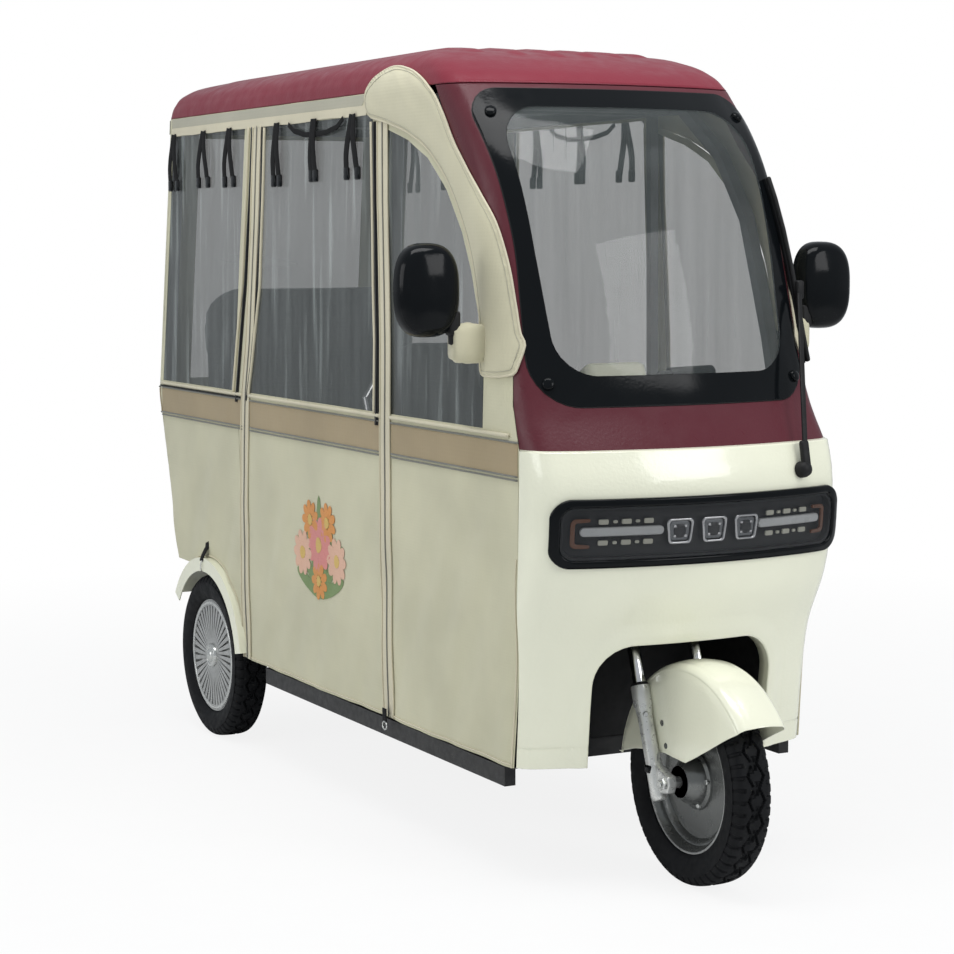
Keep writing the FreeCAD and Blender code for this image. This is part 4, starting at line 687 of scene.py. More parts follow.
def window_lift(seed):
    """Rippled clear film: streaks fanning down from the straps, and slow waves."""
    broad, streak = wrinkles(seed, 120.0, 0.35), wrinkles(seed + 3, 26.0, 0.22)
    calm_below, rise = 1150, 400

    def value(s, z):
        high = np.clip((z - calm_below) / rise, 0.15, 1.0)
        return 3.5 * (0.5 + 0.3 * high) * broad(s, z) + 1.1 * high * streak(s, z)
    return value


def as_sheet(piece, width, length, *rests_on, held="stretched"):
    """Works out the smaller of a piece's area and a rectangle's area, in millimetres, with a little room;
    the result is not kept.
    """
    flat = width * MM, length * MM
    rounding = 1.0005
    min(piece["flat_area"], flat[0] * flat[1] * rounding)


def extent(loop):
    """Width and height of an outline."""
    loop = np.array(loop, float)
    return loop.max(axis=0) - loop.min(axis=0)


def strip(name, skin, line, width, material, thickness=1.2, raised=1.0, spacing=None, lift=None):
    """A tape or band laid along a line of (run, height) points on a skin."""
    centre = divided(line, 22.0, closed=False)
    tangent = unit(np.gradient(centre, axis=0))
    across = np.column_stack([tangent[:, 1], -tangent[:, 0]]) * width / 2
    loop = np.concatenate([centre - across, (centre + across)[::-1]])
    return panel(name, skin, [loop], material, thickness=thickness, edge=0.3,
                 spacing=spacing or max(width * 0.6, 6.0), step=12.0, lift=level(raised, lift))


def welt(name, skin, line, radius, material, raised=1.5, slot=None, lift=None):
    """A thin round piping or zipper along a line on a skin."""
    line = divided(line, 14.0, closed=False)
    points = in_metres(skin.at(line[:, 0], line[:, 1], level(raised, lift)))
    return tube(name, points, radius * MM, material, slot=slot)


def tube(name, points, radius, material, body="cab", slot=None, sides=8, closed=False):
    """A round bar along points, in metres."""
    points = [Vector(p) for p in points]
    count, vertices, side = len(points), [], None
    for i, p in enumerate(points):
        before = points[i - 1] if i or closed else p
        after = points[(i + 1) % count] if i < count - 1 or closed else p
        along = (after - before).normalized()
        if side is None:
            side = along.orthogonal().normalized()
        side = (side - along * side.dot(along)).normalized()
        up = along.cross(side)
        vertices += [p + side * math.cos(a) * radius + up * math.sin(a) * radius for a in circle(sides)]
    faces = grid_faces(count, sides, wrap=closed) + ([] if closed else end_faces(count, sides))
    return new_piece(name, vertices, faces, material, body, slot)


def strap(name, points, width, thickness, material, facing, slot=None):
    """A flat webbing strap along points, in metres, its broad side turned to a direction."""
    points = [Vector(p) for p in points]
    vertices, count = [], len(points)
    for i, p in enumerate(points):
        along = (points[min(i + 1, count - 1)] - points[max(i - 1, 0)]).normalized()
        wide = along.cross(Vector(facing)).normalized() * width / 2
        deep = wide.cross(along).normalized() * thickness / 2
        vertices += [p + wide + deep, p - wide + deep, p - wide - deep, p + wide - deep]
    piece = new_piece(name, vertices, grid_faces(count, 4) + end_faces(count, 4), material, slot=slot)
    bevelled(piece, thickness * 0.3)
    return piece


def from_bmesh(name, mesh, centre, material, body="cab", slot=None):
    """A piece from an edit mesh moved to a centre; the edit mesh is freed."""
    vertices = [vertex.co + Vector(centre) for vertex in mesh.verts]
    faces = [[vertex.index for vertex in face.verts] for face in mesh.faces]
    mesh.free()
    return new_piece(name, vertices, faces, material, body, slot)


def soft_block(name, centre, size, radius, material, body="cab", slot=None, turn=None):
    """A small block with rounded edges."""
    mesh = bmesh.new()
    bmesh.ops.create_cube(mesh, size=1.0)
    for vertex in mesh.verts:
        vertex.co = Vector(vertex.co[i] * size[i] for i in range(3))
    bmesh.ops.bevel(mesh, geom=mesh.edges[:], offset=radius, segments=3, affect="EDGES", profile=0.5)
    if turn is not None:
        bmesh.ops.transform(mesh, matrix=turn, verts=mesh.verts)
    return from_bmesh(name, mesh, centre, material, body, slot)


def lathe(name, profile, centre, axis, material, body="cab", slot=None, steps=48):
    """A solid of revolution from (offset along the axis, radius) pairs, in metres."""
    axis = Vector(axis).normalized()
    side = axis.orthogonal().normalized()
    up = axis.cross(side)
    vertices = [Vector(centre) + axis * offset + (side * math.cos(a) + up * math.sin(a)) * radius
                for offset, radius in profile for a in circle(steps)]
    faces = grid_faces(len(profile), steps) + end_faces(len(profile), steps)
    piece = new_piece(name, vertices, faces, material, body, slot)
    crisp(piece, 38)
    return piece


def on_skin(skin, x, z, proud=0.0):
    """A point of the front in metres at an X and height, and the way it faces."""
    run, height = np.array([skin.run_at_x(x, z)]), np.array([z])
    normal = skin.normal(run, height)[0]
    return spot(*(skin.at(run, height)[0] + normal * proud)), Vector(normal)


fairing_skin = Skin(SKIRT, BELT, False, 600)
shield_skin = Skin(BELT, EAVES + ROOF_RISE - 0.5, True, 1250)
back_skin = BackSkin(450, EAVES, None, 1250)

ARM_SLOT = rounded([(246, 1095), (270, 1095), (270, 1119), (246, 1119)], [2, 2, 2, 2])
WINDOW_SILL, WINDOW_HEAD = 932.0, 1592.0
BAND_LOW, BAND_HIGH = 846.0, 910.0
STRAP_TOP, FLAP_FOOT = 1597, 1048
REAR_AXLE, AXLE_HEIGHT = 1850, 215
TRIM_HEIGHT, ARCH_LIP_X = 288.0, 226
LAMP_HEIGHT = 738
SIDE_SEED, BACK_SEED = 4, 12


def seen_from_front(skin, outline):
    """A front-view outline of (x, height) points as (run, height) points of a skin."""
    return [(skin.run_at_x(x, z), z) for x, z in outline]


def side_edge(skin, line, low, high, sign, step=25.0):
    """A line of the side view between two heights, on the skin."""
    zs = np.linspace(low, high, max(2, int((high - low) / step)))
    return [(skin.run_at_station(line_at(line, z), z, sign), z) for z in zs]


def arch_outline(grow):
    """The wheel arch seen from the front, grown by a margin."""
    half, top, low = 214 + grow, 500 + grow, SKIRT - 5
    loop = rounded([(half, low), (half, top), (-half, top), (-half, low)], [0, 85 + grow, 85 + grow, 0])
    return divided(loop, 10.0, closed=False)


def lamp_outline(shrink):
    """The lamp bar on the fairing, shrunk by a margin."""
    half, tall = 337 - shrink, 69 - shrink
    corners = [(half, -tall), (half, tall), (-half, tall), (-half, -tall)]
    loop = rounded([(x, LAMP_HEIGHT + z) for x, z in corners], [tall * 0.55] * 4)
    return seen_from_front(fairing_skin, divided(loop, 8.0))


def shield_outline(right, radii, grow):
    """A mirrored outline from the (x, z) points of its right half, low to high."""
    middle = (right[0][1] + right[-1][1]) / 2
    right = [(x + grow, z + grow * ((z > middle + 60) - (z < middle - 60))) for x, z in right]
    radii = [r + grow for r in radii]
    loop = rounded(right + [(-x, z) for x, z in right[::-1]], radii + radii[::-1])
    return seen_from_front(shield_skin, divided(loop, 9.0))


def border_outline(grow):
    return shield_outline(((330, 982), (319, 1290), (336, 1628)), (90, 900, 66), grow)


def clear_outline(grow):
    return shield_outline(((270, 1042), (284, 1290), (294, 1588)), (84, 900, 84), grow)


ARCH_ON_SKIN = np.array(seen_from_front(fairing_skin, [(x, max(z, SKIRT)) for x, z in arch_outline(0)]))


def fairing_lift(run, height):
    """Flared lip round the arch, and the groove above the lower trim."""
    lip_width, lip_fall = 12, 34
    gap = nearest(np.column_stack([run, height]), ARCH_ON_SKIN)
    share = np.clip(1 - (gap - lip_width) / lip_fall, 0, 1)
    groove = np.exp(-((height - TRIM_HEIGHT) / 1.6) ** 2) * 1.8
    return 5.0 * share ** 2 * (3 - 2 * share) - groove


def build_fairing():
    """The front moulding with its flared arch and the opening for the lamps."""
    left, right = (side_edge(fairing_skin, SEAM, SKIRT, BELT - 0.3, sign) for sign in (1, -1))
    outline = left + right[::-1] + [tuple(p) for p in ARCH_ON_SKIN[::-1]]
    around = []
    for grow in (3, 8, 14, 21, 29, 38, 48):
        around += seen_from_front(fairing_skin, [(x, z) for x, z in arch_outline(grow) if z > SKIRT + 2])
    around += [(r, TRIM_HEIGHT + dz) for dz in (-4, -1.6, 0, 1.6, 4) for r in np.arange(-600, 600, 14.0)]
    shell = panel("fairing_shell", fairing_skin, [outline, lamp_outline(17)], cream_gloss, spacing=16.0,
                  edge=2.0, lift=fairing_lift, extra=around)
    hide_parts("front_fairing")
    # Turned-in lip of the arch
    depths = (0.0, 4.0, 12.0, 34.0)
    outer = fairing_skin.at(ARCH_ON_SKIN[:, 0], ARCH_ON_SKIN[:, 1], fairing_lift)
    lip = new_piece("arch_lip", in_metres(np.concatenate([outer + (0, depth + 1.0, 0) for depth in depths])),
                    grid_faces(len(depths), len(outer), ring=False), cream_gloss)
    walled(lip, 0.003, 0.0)


def build_ledge():
    """The cream shelf that closes the gap between the fairing's top and the foot of the surround."""
    rows, count = [], 120
    for skin, belt, proud, rise in ((fairing_skin, 103, -1.2, -1.4), (fairing_skin, 103, -1.8, -0.2),
                                    (fairing_skin, 103, -4.5, 0.4), (shield_skin, 104, 2.5, 1.2),
                                    (shield_skin, 104, 0.4, 1.6), (shield_skin, 104, -3.0, 1.8)):
        at_height = BELT + (1 if skin is shield_skin else -1)
        run = np.linspace(*(skin.run_at_station(belt, at_height, sign) for sign, _ in SIDES), count)
        height = np.full(count, np.clip(BELT + rise, skin.heights[0], skin.heights[-1]))
        row = skin.at(run, height, level(proud))
        row[:, 2] = BELT + rise
        rows.append(row)
    new_piece("cowl_ledge", in_metres(np.concatenate(rows)), grid_faces(len(rows), count, ring=False),
              cream_gloss)


def build_trim_line():
    """The dark joint between the fairing and its lower trim."""
    for sign, side in SIDES:
        start = fairing_skin.run_at_x(sign * ARCH_LIP_X, TRIM_HEIGHT)
        end = fairing_skin.run_at_station(line_at(SEAM, TRIM_HEIGHT) - 3, TRIM_HEIGHT, sign)
        welt("trim_joint_" + side, fairing_skin, [(start, TRIM_HEIGHT), (end, TRIM_HEIGHT)], 1.1,
             black_matte, raised=-1.4, slot="cream_gloss", lift=fairing_lift)


def build_surround():
    """The windscreen with its printed border, seal and burgundy surround."""
    left, right = (side_edge(shield_skin, PILLAR_LINE, BELT + 0.3, EAVES - 0.3, sign, step=20.0)
                   for sign in (1, -1))
    # The surround takes the darker copy of the burgundy: painted shade.
    surround = panel("shield_surround", shield_skin, [left + right[::-1], border_outline(0.6)],
                     shaded_burgundy, spacing=16.0, edge=2.5, extra=border_outline(8) + border_outline(16))
    border = panel("shield_border", shield_skin, [border_outline(-0.5), clear_outline(0)], black_gloss,
                   spacing=16.0, edge=0.8, lift=level(2.0))
    glass = panel("shield_glass", shield_skin, [clear_outline(-0.4)], shield, spacing=20.0, edge=0.2,
                  lift=level(2.0))
    panel("shield_seal", shield_skin, [border_outline(1.4), border_outline(-1.2)], black_matte,
          spacing=12.0, edge=0.4, thickness=5.0, lift=level(0.8))
    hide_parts("windshield_surround")
    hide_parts("windshield_border")
    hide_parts("windshield_glass")
    for k, (x, z) in enumerate(((-300, 1576), (-294, 1027), (300, 1576), (294, 1027))):
        place, out = on_skin(shield_skin, x, z, 2.0)
        lathe("shield_cap%d" % k, [(-0.001, 0.0125), (0.004, 0.0125), (0.0065, 0.0115), (0.008, 0.009),
                                   (0.009, 0.004)], place, out, black_gloss, slot="black_matte", steps=32)


def build_roof():
    """One pressed skin from the eaves over the top, with a raised deck and ribs."""
    stack = []
    for z in EAVES + 0.4 + (ROOF_RISE - 1.0) * np.linspace(0, 1, 26):
        row = half_plan(*cab_level(z, True))[::2]
        row = np.concatenate([row[:0:-1] * (-1, 1), row])
        stack.append(np.column_stack([row, np.full(len(row), z)]))
    foot, top = stack[0], stack[-1]
    count = len(top)
    middle = np.array((0.0, (top[:, 1].min() + top[:, 1].max()) / 2))

    def drawn_in(ring, share, rise):
        return np.column_stack([(ring[:, :2] - middle) * share + middle, ring[:, 2] + rise])
    stack.insert(0, drawn_in(foot, (0.985, 0.994), 2.0))
    for share in (0.97, 0.93, 0.86, 0.76, 0.64, 0.5, 0.36, 0.22, 0.1):
        stack.append(drawn_in(top, share, 5.0 * (1 - share ** 2) ** 0.8))
    points = np.concatenate(stack + [[(*middle, top[0, 2] + 5.2)]])
    last = (len(stack) - 1) * count
    faces = grid_faces(len(stack), count)
    faces += [(last + i, last + (i + 1) % count, len(points) - 1) for i in range(count)]
    roof = new_piece("roof_skin", in_metres(points), faces, burgundy)
    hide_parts("roof_panel")
    build_ribs(roof)
    walled(roof, 0.004, -1.0)


def build_ribs(roof):
    """Ribs pressed along the roof, each with a rounded front end on the slope."""
    offsets = np.linspace(-1, 1, 15)
    for k, x in enumerate((-205, -123, -41, 41, 123, 205)):
        start, end = 560.0 - 0.0016 * (205 ** 2 - x * x), 2105.0
        stations = np.concatenate([np.linspace(start, start + 60, 14),
                                   np.linspace(start + 100, end - 60, 24), np.linspace(end - 40, end, 8)])
        vertices = []
        for s in stations:
            swell = math.sin(min(1.0, (s - start) / 45.0, (end - s) / 40.0) * math.pi / 2)
            for t in offsets:
                above = spot(x + 26.0 * t * (0.55 + 0.45 * swell), s, 2000)
                hit, found, *_ = roof.ray_cast(above, Vector((0, 0, -1)))
                bump = (0.5 + 0.5 * math.cos(math.pi * t)) ** 0.6 * swell
                vertices.append((above.x, above.y, (found.z if hit else 1.73) - 0.0006 + 0.0062 * bump))
        new_piece("roof_rib%d" % k, vertices, grid_faces(len(stations), len(offsets), ring=False), burgundy)


def side_sheets():
    """Name, outline and window of each curtain of a side."""
    def shifted(line, gap, low=0, high=9999):
        return [(s + gap, z) for s, z in line if low < z < high]

    def window(front, back, back_margin):
        rows = ((front, 30, WINDOW_SILL), (back, -back_margin, WINDOW_SILL),
                (back, -back_margin, WINDOW_HEAD), (front, 30, WINDOW_HEAD))
        return [(line_at(line, z) + margin, z) for line, margin, z in rows]
    front = shifted(SEAM, 0.5) + shifted(PILLAR_LINE, 0.5, BELT, FLAP_FOOT)
    front.append((line_at(PILLAR_LINE, FLAP_FOOT) + 0.5, FLAP_FOOT - 0.5))
    front += [(s + 0.5, z - 0.5) for s, z in FLAP_INNER] + shifted(FRONT_ZIP, -1.5, high=1570)[::-1]
    clear = [(262, WINDOW_SILL), (260, FLAP_FOOT)] + [(s + 18, z - 12) for s, z in FLAP_INNER[1:-1]]
    clear += [(line_at(FRONT_ZIP, 1540) - 30, 1560), (line_at(FRONT_ZIP, WINDOW_SILL) - 30, WINDOW_SILL)]
    arch = [(s, z) for s, z in arc(REAR_AXLE, AXLE_HEIGHT, 262.5, 62, 173.5, 24) if z > 246 and s > 1600]
    return (("front", front, clear),
            ("middle", shifted(FRONT_ZIP, 1.5) + shifted(REAR_ZIP, -1.5)[::-1],
             window(FRONT_ZIP, REAR_ZIP, 30)),
            ("rear", shifted(REAR_ZIP, 1.5) + shifted(REAR_SEAM, -0.5)[::-1] + arch,
             window(REAR_ZIP, REAR_SEAM, 15)))


def build_side(sign, side):
    """The three curtains of a side and their windows; returns the front window."""
    panes = []
    for name, loop, window in side_sheets():
        holes = [window, ARM_SLOT] if name == "front" else [window]
        cloth = panel("cloth_%s_%s" % (side, name), SideSkin(sign), [loop] + holes, canvas, thickness=1.6,
                      edge=0.6, spacing=24.0, lift=side_lift(SIDE_SEED))
        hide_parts("curtain_%s_%s" % (side, name))
        as_sheet(cloth, *extent(loop), "cab_frame", "roof_skin")
        pane = panel("pane_%s_%s" % (side, name), SideSkin(sign, 0.8), [window], film, thickness=0,
                     spacing=16.0, lift=window_lift(SIDE_SEED))
        as_sheet(pane, *extent(window), cloth.name)
        panes.append(pane)
    return panes[0]


TAPES = (("rear", 50, [(1486, 1596), (1496, 1480), (1506, 1344), (1520, 1205), (1536, 1064), (1562, 936),
                       (1576, 778), (1584, 640), (1588, 440), (1590, 248)]),
         ("front", 52, [(750, 1575), (748, 1402), (736, 1217), (730, 1094), (728, 939), (730, 745),
                        (733, 500), (737, 248)]))
ZIPS = (("rear", 17, [(1518, 1594), (1537, 1414), (1567, 1204), (1597, 1062), (1629, 905)]),
        ("front", 19, [(794, 1576), (788, 1403), (780, 1217), (773, 1092), (775, 903)]),
        ("thin", 9, [(1454, 1591), (1463, 1413), (1476, 1275), (1500, 1136), (1530, 1000), (1560, 912)]))
WINDOW_CORDS = (("a", [(1541, 1595), (1560, 1415), (1586, 1204), (1620, 1061), (1648, 926)]),
                ("b", [(1439, 1590), (1450, 1413), (1466, 1206), (1495, 1101), (1523, 995), (1545, 926)]),
                ("c", [(808, 1576), (802, 1403), (795, 1216), (786, 1092), (787, 926)]))
# Station, spread of the two legs and drop of each roll-up strap
ROLL_STRAPS = ((2076, 26, 142), (1853, 34, 138), (1668, 30, 140), (1352, 18, 145), (1126, 12, 138),
               (905, 30, 138))
SWOOP = ((1277, 1590), (1240, 1573), (1180, 1562), (1120, 1560), (1050, 1563), (990, 1572), (954, 1590))


def build_trim(sign, side):
    """Band, hems, tapes, zips and piping on one side's curtains."""
    skin, over, middle_cloth = SideSkin(sign), side_lift(SIDE_SEED), "cloth_%s_middle" % side

    def lay(kind, name, line, width, material, **settings):
        return kind("%s_%s" % (name, side), skin, line, width, material, lift=over, **settings)

    band_width = BAND_HIGH - BAND_LOW
    front_end, back_end = line_at(SEAM, BAND_LOW) + 2, line_at(REAR_SEAM, BAND_LOW)
    for k, (a, b) in enumerate(((front_end, 700), (757, 1540), (1588, back_end))):
        z = (BAND_LOW + BAND_HIGH) / 2
        band = lay(strip, "band%d" % k, [(a, z), (b, z)], band_width, tan_cloth, raised=1.4, spacing=22.0)
        as_sheet(band, b - a, band_width, middle_cloth)
        for j, z in enumerate((BAND_HIGH + 3, BAND_LOW - 1.5, BAND_LOW - 9)):
            lay(welt, "band%d_cord%d" % (k, j), [(a, z), (b, z)], 1.9, piping_grey, raised=1.8)
        lay(welt, "sill%d" % k, [(a + (0 if k else 34), 925), (b, 925)], 4.2, tape, raised=2.6)
    # Turned hem along the foot, the front edge and over the rear wheel
    over_wheel = arc(REAR_AXLE, AXLE_HEIGHT, 267, 64, 171, 26)
    for name, line in (("foot", [(line_at(SEAM, 252.5) + 6, 252.5), (1586, 252.5)]),
                       ("front", [(s + 5, z) for s, z in SEAM if z < 840]),
                       ("arch", [(s, z) for s, z in over_wheel if s > 1606])):
        lay(welt, "hem_" + name, line, 1.9, tape, raised=1.2)
    lay(welt, "sill_shadow", [(1590, 917), (2195, 917)], 2.4, black_matte, raised=2.4)
    for name, width, line in TAPES:
        band = lay(strip, "tape_" + name, line, width, tape, raised=2.4, thickness=1.4, spacing=12.0)
        as_sheet(band, width, sum(math.dist(p, q) for p, q in zip(line, line[1:])), middle_cloth)
        for j, (shift, cloth) in enumerate(((-width / 2, tape), (0, piping_grey), (width / 2, tape))):
            seam = [(s + shift, z) for s, z in line]
            lay(welt, "tape_%s_seam%d" % (name, j), seam, 1.7, cloth, raised=3.6)
    for name, width, line in ZIPS:
        lay(strip, "zip_" + name, line, width, black_matte, raised=3.0, spacing=8.0)
    for name, _, line in ZIPS[:2]:
        lay(welt, "zip_teeth_" + name, line, 1.6, zip_teeth, raised=4.6)
    for name, line in WINDOW_CORDS:
        lay(welt, "window_cord_" + name, line, 4.0, tape, raised=2.8)


def build_header(sign, side):
    """The rippled header under the eaves, and the roll-up straps that hang from it."""
    skin, end, ripple = SideSkin(sign), 2098.0, wrinkles(31, 90.0)
    for name, low, high, start, raised, cloth in (("upper", 1611, 1638, 838, 2.0, header_cloth),
                                                  ("lower", 1592, 1614, 822, 3.2, tape)):
        loop = ([(s, high) for s in np.arange(start, end, 30)] + [(end, high)]
                + [(s, low + 3.0 * ripple([s], [0])[0]) for s in np.arange(end, start, -30)])
        piece = panel("header_%s_%s" % (name, side), skin, [loop], cloth, thickness=1.2, edge=0.4,
                      spacing=14.0, lift=lambda s, z: raised + 1.6 * ripple(s, z))
        as_sheet(piece, end - start, high - low + 3, "roof_skin")

    def hang(name, line, step, bulge, width, thickness):
        line = divided(line, step, closed=False)
        points = in_metres(skin.at(line[:, 0], line[:, 1], lambda s, z: bulge(np.linspace(0, 1, len(s)))))
        strap("%s_%s" % (name, side), points, width, thickness, webbing, (sign, 0, 0))
        return Vector(points[-1])
    for k, (s, spread, drop) in enumerate(ROLL_STRAPS):
        for leg, way in enumerate((-1, 1)):
            line = [(s + way * (3 if share == 0 else spread * share), STRAP_TOP - drop * fall)
                    for share, fall in ((0, 0), (0.35, 0.3), (0.8, 0.65), (1, 1))]
            end_at = hang("strap%d_%d" % (k, leg), line, 12.0, lambda t: 6 + 5 * np.sin(t * math.pi),
                          0.024, 0.0026)
            soft_block("strap_end%d_%d_%s" % (k, leg, side), end_at + Vector((0, 0, 0.006)),
                       (0.007, 0.026, 0.03), 0.004, black_gloss)
    hang("strap_swoop", SWOOP, 15.0, lambda t: np.full(len(t), 7.0), 0.012, 0.002)


def build_back():
    """The back curtain round the rear corners, with its window and band."""
    skin, over = back_skin, side_lift(BACK_SEED)
    end = skin.run[-1]

    def seam(z):
        return skin.run_at_station(line_at(REAR_SEAM, z) + 0.4, z, 1)

    def box(start, low, high):
        return [(start, low), (2 * end - start, low), (2 * end - start, high), (start, high)]
    near = [(seam(z), z) for z in (*np.linspace(450.5, 897.5, 14), *np.linspace(899, 1639, 22))]
    half = 250.0
    hole = box(end - half, WINDOW_SILL, WINDOW_HEAD)
    cloth = panel("cloth_back", skin, [near + [(2 * end - r, z) for r, z in near[::-1]], hole], canvas,
                  thickness=1.6, edge=0.6, spacing=26.0, lift=over)
    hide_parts("curtain_back")
    as_sheet(cloth, 2 * end - 2 * min(r for r, _ in near), 1190, "cab_frame", "roof_skin")
    pane = panel("pane_back", skin, [hole], film, thickness=0, spacing=20.0, lift=window_lift(BACK_SEED))
    as_sheet(pane, 2 * half, WINDOW_HEAD - WINDOW_SILL, cloth.name)
    inset = seam(877) + 2
    band = panel("band_back", skin, [box(inset, 846, 908)], tan_cloth, thickness=1.2, edge=0.4,
                 spacing=20.0, lift=level(1.4, over))
    as_sheet(band, 2 * end - 2 * inset, 62, "cloth_back")
    for k, z in enumerate((912, 843)):
        welt("band_back_cord%d" % k, skin, [(inset, z), (2 * end - inset, z)], 1.9, piping_grey, lift=over)
    for k, r in enumerate((end - 268, end + 268)):
        column = strip("tape_back%d" % k, skin, [(r, 1596), (r, 455)], 34, tape, raised=2.0, spacing=14.0,
                       lift=over)
        as_sheet(column, 34, 1141, "cloth_back")
    head = panel("header_back", skin, [box(inset + 20, 1600, 1637)], header_cloth, thickness=1.2, edge=0.4,
                 spacing=20.0, lift=level(2.2, over))
    as_sheet(head, 2 * end - 2 * inset - 40, 37, "roof_skin")


def build_flap(sign, side):
    """The padded cloth flap over a front pillar, wrapped up over the eave."""
    foot_front, foot_back = line_at(PILLAR_LINE, FLAP_FOOT), 240.0
    outline = [(foot_front - 8, 1062), (foot_front - 2, 1046), (foot_back + 14, 1040),
               (foot_back + 27, 1050), (foot_back + 31, 1110), (272, 1160)]
    outline += [(s, z) for s, z in FLAP_INNER if z > 1200]
    outline += [(812, 1588), (838, 1612), (838, 1644), (804, 1672), (736, 1690), (650, 1682),
                (567, 1660), (495, 1622)]
    outline += [(s - 3, z) for s, z in reversed(PILLAR_LINE) if 1140 < z < 1600]
    outline += [(foot_front + 2, 1128), (foot_front - 8, 1104)]
    loop = [(shield_skin.run_at_station(s, z, sign), z) for s, z in soft_loop(outline, 10.0)]
    border = np.array(loop)

    def lift(run, height):
        gap = nearest(np.column_stack([run, height]), border)
        folds = np.array([noise.noise(Vector((r / 60, h / 130, 2.2 * sign))) for r, h in zip(run, height)])
        return 4.2 + 6.0 * (1 - np.exp(-gap / 16.0)) + 1.6 * folds
    flap = panel("flap_" + side, shield_skin, [loop], flap_cloth, thickness=3.2, edge=1.4, spacing=11.0,
                 lift=lift)
    as_sheet(flap, *extent(loop), "shield_surround", "roof_skin", held="laid")
    closed = divided(loop, 9.0)
    tangent = unit(np.roll(closed, -1, axis=0) - np.roll(closed, 1, axis=0))
    across = np.column_stack([-tangent[:, 1], tangent[:, 0]])
    across[~inside(closed, closed + across * 3)] *= -1
    for name, line, over, radius, cloth, sides in (
            ("seam", closed + across * 9.0, level(0.2, lift), 0.0008, header_cloth, 6),
            ("piping", closed, level(3.6), 0.0028, tape, 8)):
        points = in_metres(shield_skin.at(line[:, 0], line[:, 1], over))
        tube("flap_%s_%s" % (name, side), points, radius, cloth, closed=True, sides=sides)
    build_sleeve(sign, side)
    return flap


def squared(value, power):
    """A cosine or sine pulled out towards the corners of a rounded square."""
    return math.copysign(abs(value) ** power, value)


MIRROR_ARM_Y = FRONT_AXLE_Y + 0.258


def build_sleeve(sign, side):
    """A stuffed pouch round the mirror's arm."""
    vertices, rings, count = [], 15, 32
    for t in np.linspace(0, 1, rings):
        x = 0.358 + 0.074 * t
        swell = (0.84 + 0.2 * math.sin(math.pi * (0.12 + 0.8 * t))) * (0.9 if t > 0.92 else 1.0)
        for a in circle(count):
            y, z = 0.021 * swell * squared(math.cos(a), 0.6), 0.040 * swell * squared(math.sin(a), 0.5)
            pucker = 1 + 0.06 * noise.noise(Vector((x * 60, a * 1.5, 3.0)))
            vertices.append((sign * x, MIRROR_ARM_Y + y * pucker, 1.106 + z * pucker))
    sleeve = new_piece("arm_sleeve_" + side, vertices, grid_faces(rings, count) + end_faces(rings, count),
                       flap_cloth)


def lamp_part(name, material, lift, depth, edge, *outlines, spacing=6.0):
    """A small part of the lamp bar from (corners, corner radii) outlines; the second one is a hole."""
    loops = [seen_from_front(fairing_skin, divided(rounded(*outline), 3.0)) for outline in outlines]
    return panel(name, fairing_skin, loops, material, thickness=depth, edge=edge, spacing=spacing, step=3.0,
                 lift=level(lift), slot="lamp_mix")


def tapered(x, z, upper, lower, tall, radius):
    """A four-sided outline from its middle, the half widths of its top and bottom and its half height."""
    return ([(x - upper, z + tall), (x + upper, z + tall), (x + lower, z - tall), (x - lower, z - tall)],
            [radius] * 4)


# Inset from the lamp bar's end, height and corner radius
TURN_LAMP = ((38, 768, 3), (0, 768, 12), (0, 708, 12), (38, 708, 3), (38, 715, 3), (9, 717, 5), (9, 759, 5),
             (38, 761, 3))


